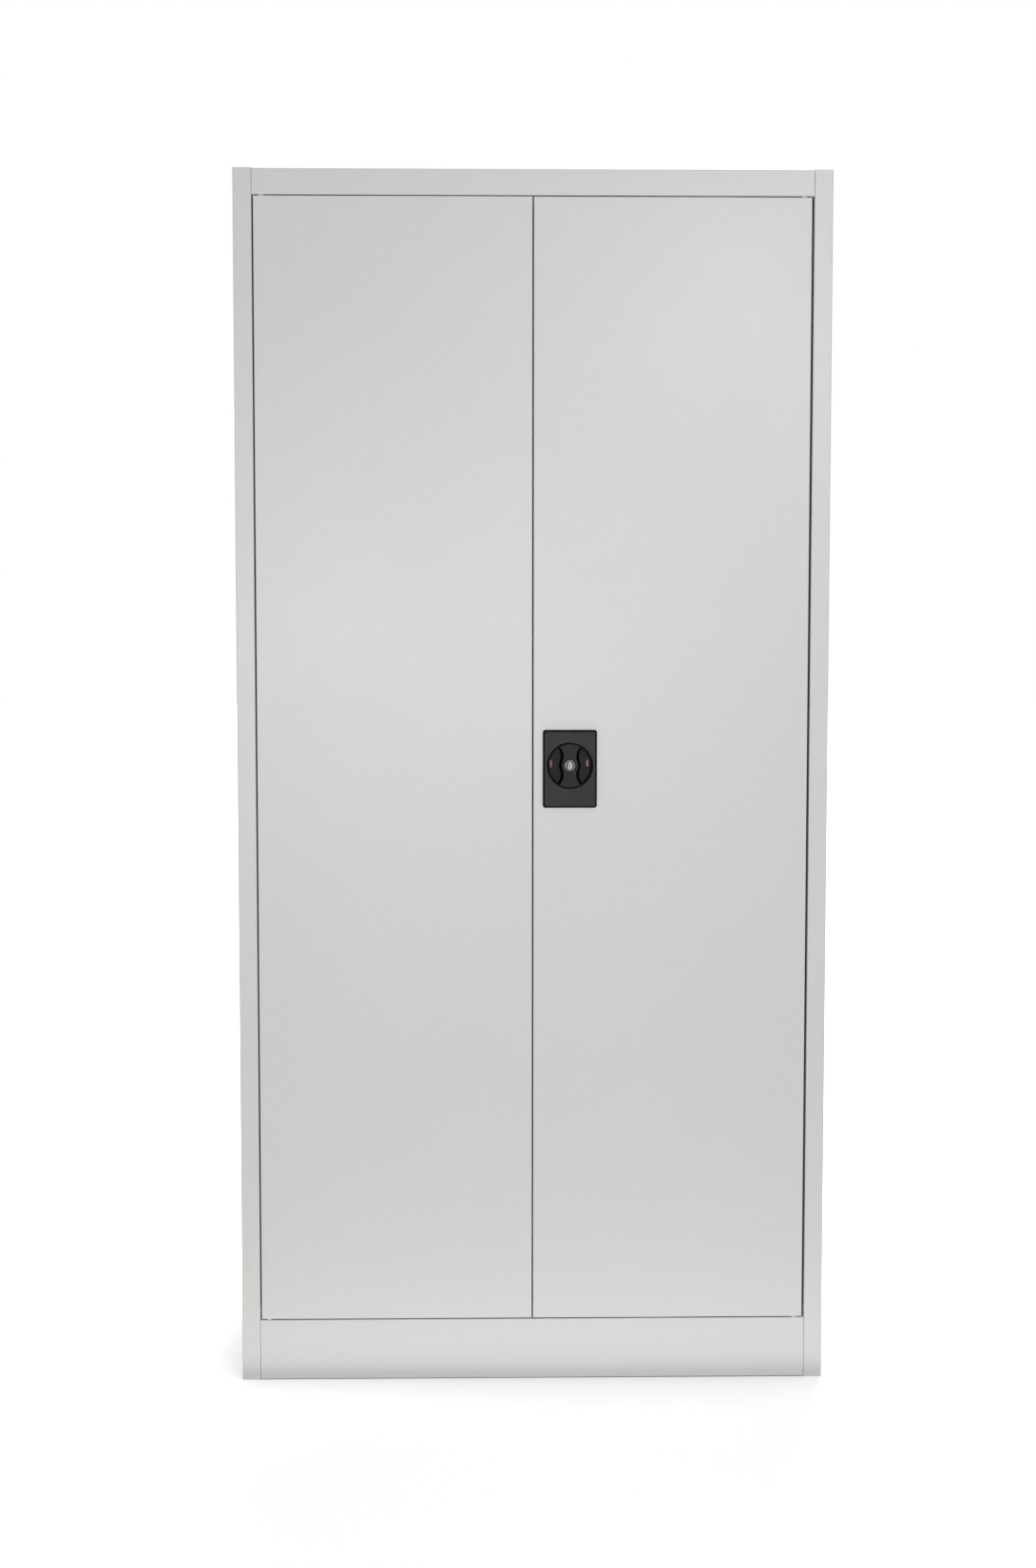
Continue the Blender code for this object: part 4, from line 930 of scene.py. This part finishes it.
class CUPBOARD_OT_position_marks(bpy.types.Operator):
    """Make the plain red marks in the dish, one on each side of the grip"""

    bl_idname = "cupboard.position_marks"
    bl_label = "Position marks"

    def execute(self, context):
        sizes = context.scene.cupboard_sizes
        colours = context.scene.cupboard_colours
        width, height, rise = sizes.mark_width, sizes.mark_height, sizes.mark_rise
        wide, high = FIELD_SHARES
        fields = [(x, z - FIELD_DROP, wide * width, high * height) for x, z in MARK_CENTRES]
        add_dish_patches("mark_fields", fields, rise, mark_paint("dark_red_field", colours.mark_field))
        # The left mark's paint is the right mark's darkened: painted shade
        shade_painted_mark = [channel * LEFT_MARK_SHADE_SHARE for channel in colours.mark]
        paints = (("left_mark", shade_painted_mark), ("right_mark", colours.mark))
        for (name, base), centre in zip(paints, MARK_CENTRES):
            mark = [(*centre, width, height)]
            add_dish_patches(name, mark, MARK_RISE_SHARE * rise, mark_paint(f"{name}_mauve", base))
        # A pale patch below the left mark: a painted glint
        x, z = MARK_CENTRES[0]
        glints = [(x, z - GLINT_DROP, *GLINT_SIZE)]
        pale = mark_paint("painted_glint", colours.mark_painted_glint)
        add_dish_patches("mark_painted_glint", glints, GLINT_RISE_SHARE * rise, pale)
        return {"FINISHED"}


def keyhole_rings(sizes, steps):
    """Outlines of the keyhole, an upright slot with a ward's notch, for each flare and depth."""
    half = sizes.keyhole_width / 2
    tall = sizes.keyhole_height / 2
    rings = []
    for flare, depth in steps:
        outline = [(-half - flare, -tall - flare), (half + flare, -tall - flare)]
        for across, up, way in WARD_SHARES:
            outline.append((across * half + flare, up * tall + way * flare))
        outline += [(half + flare, tall + flare), (-half - flare, tall + flare)]
        rings.append(placed(outline, PLUG_LOW.y + depth))
    return rings


class CUPBOARD_OT_key_cylinder(bpy.types.Operator):
    """Make the chrome ring of the key cylinder and the plug with its keyhole"""

    bl_idname = "cupboard.key_cylinder"
    bl_label = "Key cylinder"

    def execute(self, context):
        sizes = context.scene.cupboard_sizes
        colours = context.scene.cupboard_colours
        face = RING_LOW.y
        inner = PLUG_RADIUS + SEAT
        edge = RING_ROUNDING
        radius = RING_RADIUS - RING_INSET
        rim = radius - RING_RIM
        ring = [
            (inner, face + 2 * edge), (inner + edge, face + edge),
            (rim - RING_GROOVE - edge, face + edge), (rim - RING_GROOVE, face + RING_GROOVE),
            (rim - edge / 2, face + RING_GROOVE), (rim, face + edge / 2), (rim + edge / 2, face),
        ]
        ring += [(radius - edge * run, face + edge * fall) for run, fall in rounding()]
        ring += [(radius, RING_HIGH.y), (inner, RING_HIGH.y)]
        mesh = creased(turned("cylinder_ring", ring, looped=True))
        # The ring's dark colour stands in for dark surroundings in its reflection: painted reflection
        chrome = plated_metal("chrome_painted_dark_reflection", colours.chrome, RING_ROUGHNESS)
        add_piece("cylinder_ring", mesh, chrome, "knob", ("lock_barrel",))
        face = PLUG_LOW.y
        plug = [(PLUG_RADIUS * share, face + sunk * edge) for share, sunk in PLUG_DISH_SHARES]
        plug += [(PLUG_RADIUS - edge, face), (PLUG_RADIUS, face + edge), (PLUG_RADIUS, PLUG_HIGH.y)]
        flare = KEYHOLE_FLARE
        steps = ((flare, -edge), (flare, edge), (0, 3 * edge), (0, KEYHOLE_DEPTH))
        keyhole = lofted("keyhole", keyhole_rings(sizes, steps))
        mesh = combined("cylinder_plug", turned("plug", plug), (("DIFFERENCE", keyhole),))
        # The plug's dark colour stands in for dark surroundings in its reflection: painted reflection
        metal = plated_metal("plug_painted_dark_reflection", colours.plug, PLUG_ROUGHNESS)
        add_piece("cylinder_plug", mesh, metal, "key_plug", ("key_plug",))
        steps = [(out * sizes.key_guide, sunk * edge) for out, sunk in GUIDE_SHARES]
        mesh = lofted("key_guide", keyhole_rings(sizes, steps), looped=True)
        polish = plated_metal("polished_guide", colours.guide, GUIDE_ROUGHNESS)
        add_piece("key_guide", mesh, polish, "key_plug")
        return {"FINISHED"}


# Sheet metal and fittings

class CUPBOARD_OT_painted_sheets(bpy.types.Operator):
    """Give the sheet metal its powder coat and its rounded folds"""

    bl_idname = "cupboard.painted_sheets"
    bl_label = "Painted sheet metal"

    def execute(self, context):
        add_welded_copies(CARCASS_SHEETS + DOOR_SHEETS, "painted", powder_coat())
        return {"FINISHED"}


class CUPBOARD_OT_zinc_fittings(bpy.types.Operator):
    """Give the uprights, clips and lock rods their zinc plate"""

    bl_idname = "cupboard.zinc_fittings"
    bl_label = "Zinc-plated fittings"

    def execute(self, context):
        add_welded_copies(UPRIGHTS + CLIPS + LOCK_STEEL, "plated", bright_zinc())
        return {"FINISHED"}


def seam(x, y, low, high, facing):
    """An upright line of welds between two heights, and the way that they face."""
    return [(x, y, low + SEAM_END), (x, y, high - SEAM_END)], facing


def carcass_seams():
    """Lines of welds down the back flanges and over the uprights."""
    seams = []
    for side, name in ((-1, "left"), (1, "right")):
        low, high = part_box(f"side_panel_{name}")
        outer = low.x if side < 0 else high.x
        seams.append(seam(outer - side * WELD_FROM_SIDE, high.y, low.z, high.z, (0, 1, 0)))
        for row in ("front", "back"):
            start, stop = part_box(f"shelf_upright_{row}_{name}")
            y = (start.y + stop.y) / 2
            seams.append(seam(outer, y, start.z, stop.z, (side, 0, 0)))
    return seams


def door_seams(side):
    """Lines of welds down both flanges of a door's stiffener, inside the door."""
    low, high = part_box(f"door_stiffener_{side}")
    foot = low.y + STIFFENER_SHEET
    edges = (low.x + WELD_FROM_EDGE, high.x - WELD_FROM_EDGE)
    return [seam(x, foot, low.z, high.z, (0, 1, 0)) for x in edges]


class CUPBOARD_OT_spot_welds(bpy.types.Operator):
    """Spread spot welds along the seams of the carcass and the doors"""

    bl_idname = "cupboard.spot_welds"
    bl_label = "Spot welds"

    def execute(self, context):
        sizes = context.scene.cupboard_sizes
        paint = powder_coat()
        tree = spot_weld_tree()
        values = {"Pitch": sizes.weld_pitch, "Ring Radius": sizes.weld_radius}
        values.update({"Rise": sizes.weld_rise, "Material": paint})
        bodies = {"carcass": carcass_seams()}
        bodies.update((f"door_{side}", door_seams(side)) for side in ("left", "right"))
        for body, seams in bodies.items():
            name = f"{body}_welds"
            mesh = mesh_from_tree(name, tree, seams, values)
            add_piece(name, mesh, paint, body)
        return {"FINISHED"}


class CUPBOARD_OT_screws(bpy.types.Operator):
    """Make the screws behind the lock plate and the one that holds the cam"""

    bl_idname = "cupboard.screws"
    bl_label = "Lock screws"

    def execute(self, context):
        tree = screw_tree()
        zinc = bright_zinc()
        for name, nodes in (("plate_screws", PLATE_SCREWS), ("cam_fixing_screw", ("cam_screw",))):
            boxes = [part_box(node) for node in nodes]
            low, high = boxes[0]
            seat = high.y - SCREW_HEAD_HEIGHT
            middles = [(first + last) / 2 for first, last in boxes]
            places = [([(middle.x, seat, middle.z)], (0, 1, 0)) for middle in middles]
            values = {
                "Head Radius": (high.x - low.x) / 2,
                "Head Height": SCREW_HEAD_HEIGHT,
                "Shank Radius": SCREW_SHANK_RADIUS,
                "Shank Length": seat - low.y,
                "Material": zinc,
            }
            mesh = mesh_from_tree(name, tree, places, values)
            mesh.set_sharp_from_angle(angle=CREASE_ANGLE)
            add_piece(name, mesh, zinc, body_of(nodes[0]), nodes)
        return {"FINISHED"}


def add_pivot_washers(side):
    """Thin washers round the pins, in the gaps above and below a door."""
    door_low, door_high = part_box(f"door_{side}")
    stacks = []
    for end, door_level in (("upper", door_high.z), ("lower", door_low.z)):
        low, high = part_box(f"pivot_bush_{end}_{side}")
        pin_low, pin_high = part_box(f"pivot_pin_{end}_{side}")
        frame_level = low.z if end == "upper" else high.z
        bottom = min(door_level, frame_level) + WASHER_PLAY
        top = max(door_level, frame_level) - WASHER_PLAY
        inner = (pin_high.x - pin_low.x) / 2 + WASHER_PLAY
        outer = (high.x - low.x) / 2 - WASHER_INSET
        centre = (low + high) / 2
        rings = []
        for radius, level in ((inner, bottom), (outer, bottom), (outer, top), (inner, top)):
            points = circle(radius, (centre.x, centre.y), WASHER_ROUND)
            rings.append([(x, y, level) for x, y in points])
        stacks.append(rings)
    name = f"pivot_washers_{side}"
    mesh = creased(lofted(name, *stacks, looped=True))
    add_piece(name, mesh, white_nylon(), f"door_{side}")


class CUPBOARD_OT_pivots(bpy.types.Operator):
    """Make the pivot pins of the doors, with the nylon bushes and washers that they turn in"""

    bl_idname = "cupboard.pivots"
    bl_label = "Pivot pins, bushes and washers"

    def execute(self, context):
        for side in ("left", "right"):
            for end in ("upper", "lower"):
                add_welded_copies((f"pivot_pin_{end}_{side}",), "plated", bright_zinc())
                add_welded_copies((f"pivot_bush_{end}_{side}",), "moulded", white_nylon())
            add_pivot_washers(side)
        return {"FINISHED"}


class CUPBOARD_OT_buffers(bpy.types.Operator):
    """Make the rubber buffers that the closed doors rest on"""

    bl_idname = "cupboard.buffers"
    bl_label = "Door buffers"

    def execute(self, context):
        stacks = []
        for node in BUFFERS:
            low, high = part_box(node)
            radius = (high.x - low.x) / 2
            soft = radius / 3
            profile = [(radius, high.y)]
            profile += [(radius - soft * run, low.y + soft * fall) for fall, run in rounding()]
            stacks.append(rings_along_y(profile, (low + high) / 2, BUFFER_ROUND))
        mesh = creased(lofted("door_buffers", *stacks))
        add_piece("door_buffers", mesh, soft_rubber(), "carcass", BUFFERS)
        return {"FINISHED"}


# Studio

def add_light(name, place, aim, size, power):
    """A soft box at a place, turned to its aim and hidden from the camera."""
    data = bpy.data.lights.new(name, "AREA")
    data.shape = "RECTANGLE"
    data.size, data.size_y = size
    data.energy = power
    light = new_object(name, data)
    light.location = place
    light.rotation_euler = (Vector(aim) - Vector(place)).to_track_quat("-Z", "Y").to_euler()
    light.visible_camera = False


def white_to_camera(tree, plain, shown, output):
    """Sends the plain shader to light rays and the shown one to the camera and reflections."""
    path = tree.nodes.new("ShaderNodeLightPath").outputs
    seen = add_math(tree, "MAXIMUM", path["Is Glossy Ray"], path["Is Transmission Ray"])
    seen = add_math(tree, "MAXIMUM", path["Is Camera Ray"], seen)
    mix = add_node(tree, "ShaderNodeMixShader", {"Fac": seen, 1: plain, 2: shown})
    tree.links.new(mix.outputs[0], output)


def make_world():
    """Even light from all round, white where the camera sees it."""
    world = bpy.data.worlds.new("studio")
    world.use_nodes = True
    tree = world.node_tree
    light = tree.nodes["Background"]
    feed(tree, light, {"Color": WHITE, "Strength": WORLD_LIGHT})
    seen = add_node(tree, "ShaderNodeBackground", {"Color": WHITE, "Strength": 1})
    output = tree.nodes["World Output"].inputs["Surface"]
    white_to_camera(tree, light.outputs[0], seen.outputs[0], output)
    bpy.context.scene.world = world


def make_floor(colours):
    """A plain pale floor that glows white where the camera sees it, less near the cupboard so that its
    shadow shows. Occlusion within a short reach of the base dims the glow: a painted contact shadow.
    """
    half = FLOOR_SIZE / 2
    mesh = bpy.data.meshes.new("studio_floor")
    corners = [(-half, -half, 0), (half, -half, 0), (half, half, 0), (-half, half, 0)]
    mesh.from_pydata(corners, [], [(0, 1, 2, 3)])
    material = bpy.data.materials.new("studio_floor")
    material.use_nodes = True
    tree = material.node_tree
    shader = tree.nodes["Principled BSDF"]
    feed(tree, shader, {"Base Color": (*colours.floor, 1), "Roughness": FLOOR_ROUGHNESS})
    place = tree.nodes.new("ShaderNodeTexCoord").outputs["Object"]
    links = {0: place, 1: FLOOR_MIDDLE}
    away = add_node(tree, "ShaderNodeVectorMath", links, operation="DISTANCE")
    lift = add_node(tree, "ShaderNodeMapRange", {
        "Value": away.outputs["Value"],
        "From Min": FLOOR_NEAR,
        "From Max": FLOOR_FAR,
        "To Min": FLOOR_LIFT_NEAR,
        "To Max": FLOOR_LIFT_FAR,
    })
    # The glow is dimmed by occlusion close to the base: painted contact shadow
    painted_contact_shadow = add_node(tree, "ShaderNodeAmbientOcclusion", {"Distance": CONTACT_SHADOW_REACH})
    strength = add_math(tree, "MULTIPLY", lift.outputs["Result"], painted_contact_shadow.outputs["AO"])
    glow = add_node(tree, "ShaderNodeEmission", {"Color": WHITE, "Strength": strength})
    both = add_node(tree, "ShaderNodeAddShader", {0: shader.outputs[0], 1: glow.outputs[0]})
    output = tree.nodes["Material Output"].inputs["Surface"]
    white_to_camera(tree, shader.outputs[0], both.outputs[0], output)
    mesh.materials.append(material)
    floor = new_object("studio_floor", mesh)


class CUPBOARD_OT_studio(bpy.types.Operator):
    """Make the floor, the soft light and the camera"""

    bl_idname = "cupboard.studio"
    bl_label = "Studio"

    def execute(self, context):
        make_world()
        make_floor(context.scene.cupboard_colours)
        for soft_box in SOFT_BOXES:
            add_light(*soft_box)
        camera = new_object("photo_camera", bpy.data.cameras.new("photo_camera"))
        camera.data.sensor_width = SENSOR
        camera.data.lens = PHOTO_FOCUS * SENSOR / PHOTO_HEIGHT
        camera.location = CAMERA_PLACE
        camera.rotation_euler = [math.radians(turn) for turn in CAMERA_TURN]
        context.scene.camera = camera
        context.scene.view_settings.view_transform = "Standard"
        return {"FINISHED"}


# Panel

OPERATORS = (
    CUPBOARD_OT_studio,
    CUPBOARD_OT_painted_sheets,
    CUPBOARD_OT_spot_welds,
    CUPBOARD_OT_zinc_fittings,
    CUPBOARD_OT_pivots,
    CUPBOARD_OT_buffers,
    CUPBOARD_OT_screws,
    CUPBOARD_OT_lock_plate,
    CUPBOARD_OT_turn_knob,
    CUPBOARD_OT_position_marks,
    CUPBOARD_OT_key_cylinder,
)


class CUPBOARD_PT_pieces(bpy.types.Panel):
    """Sizes, colours and pieces of the cupboard"""

    bl_idname = "CUPBOARD_PT_pieces"
    bl_label = "Steel cupboard"
    bl_space_type = "VIEW_3D"
    bl_region_type = "UI"
    bl_category = "Cupboard"

    def draw(self, context):
        for group in (context.scene.cupboard_sizes, context.scene.cupboard_colours):
            box = self.layout.box()
            for name in group.__annotations__:
                box.prop(group, name)
        for operator in OPERATORS:
            self.layout.operator(operator.bl_idname)


CLASSES = (CupboardSizes, CupboardColours, *OPERATORS, CUPBOARD_PT_pieces)


def register():
    for cls in CLASSES:
        bpy.utils.register_class(cls)
    bpy.types.Scene.cupboard_sizes = PointerProperty(type=CupboardSizes)
    bpy.types.Scene.cupboard_colours = PointerProperty(type=CupboardColours)


def unregister():
    del bpy.types.Scene.cupboard_colours
    del bpy.types.Scene.cupboard_sizes
    for cls in reversed(CLASSES):
        bpy.utils.unregister_class(cls)


def main():
    register()
    for operator in OPERATORS:
        area, name = operator.bl_idname.split(".")
        getattr(getattr(bpy.ops, area), name)()


if __name__ == "__main__":
    main()
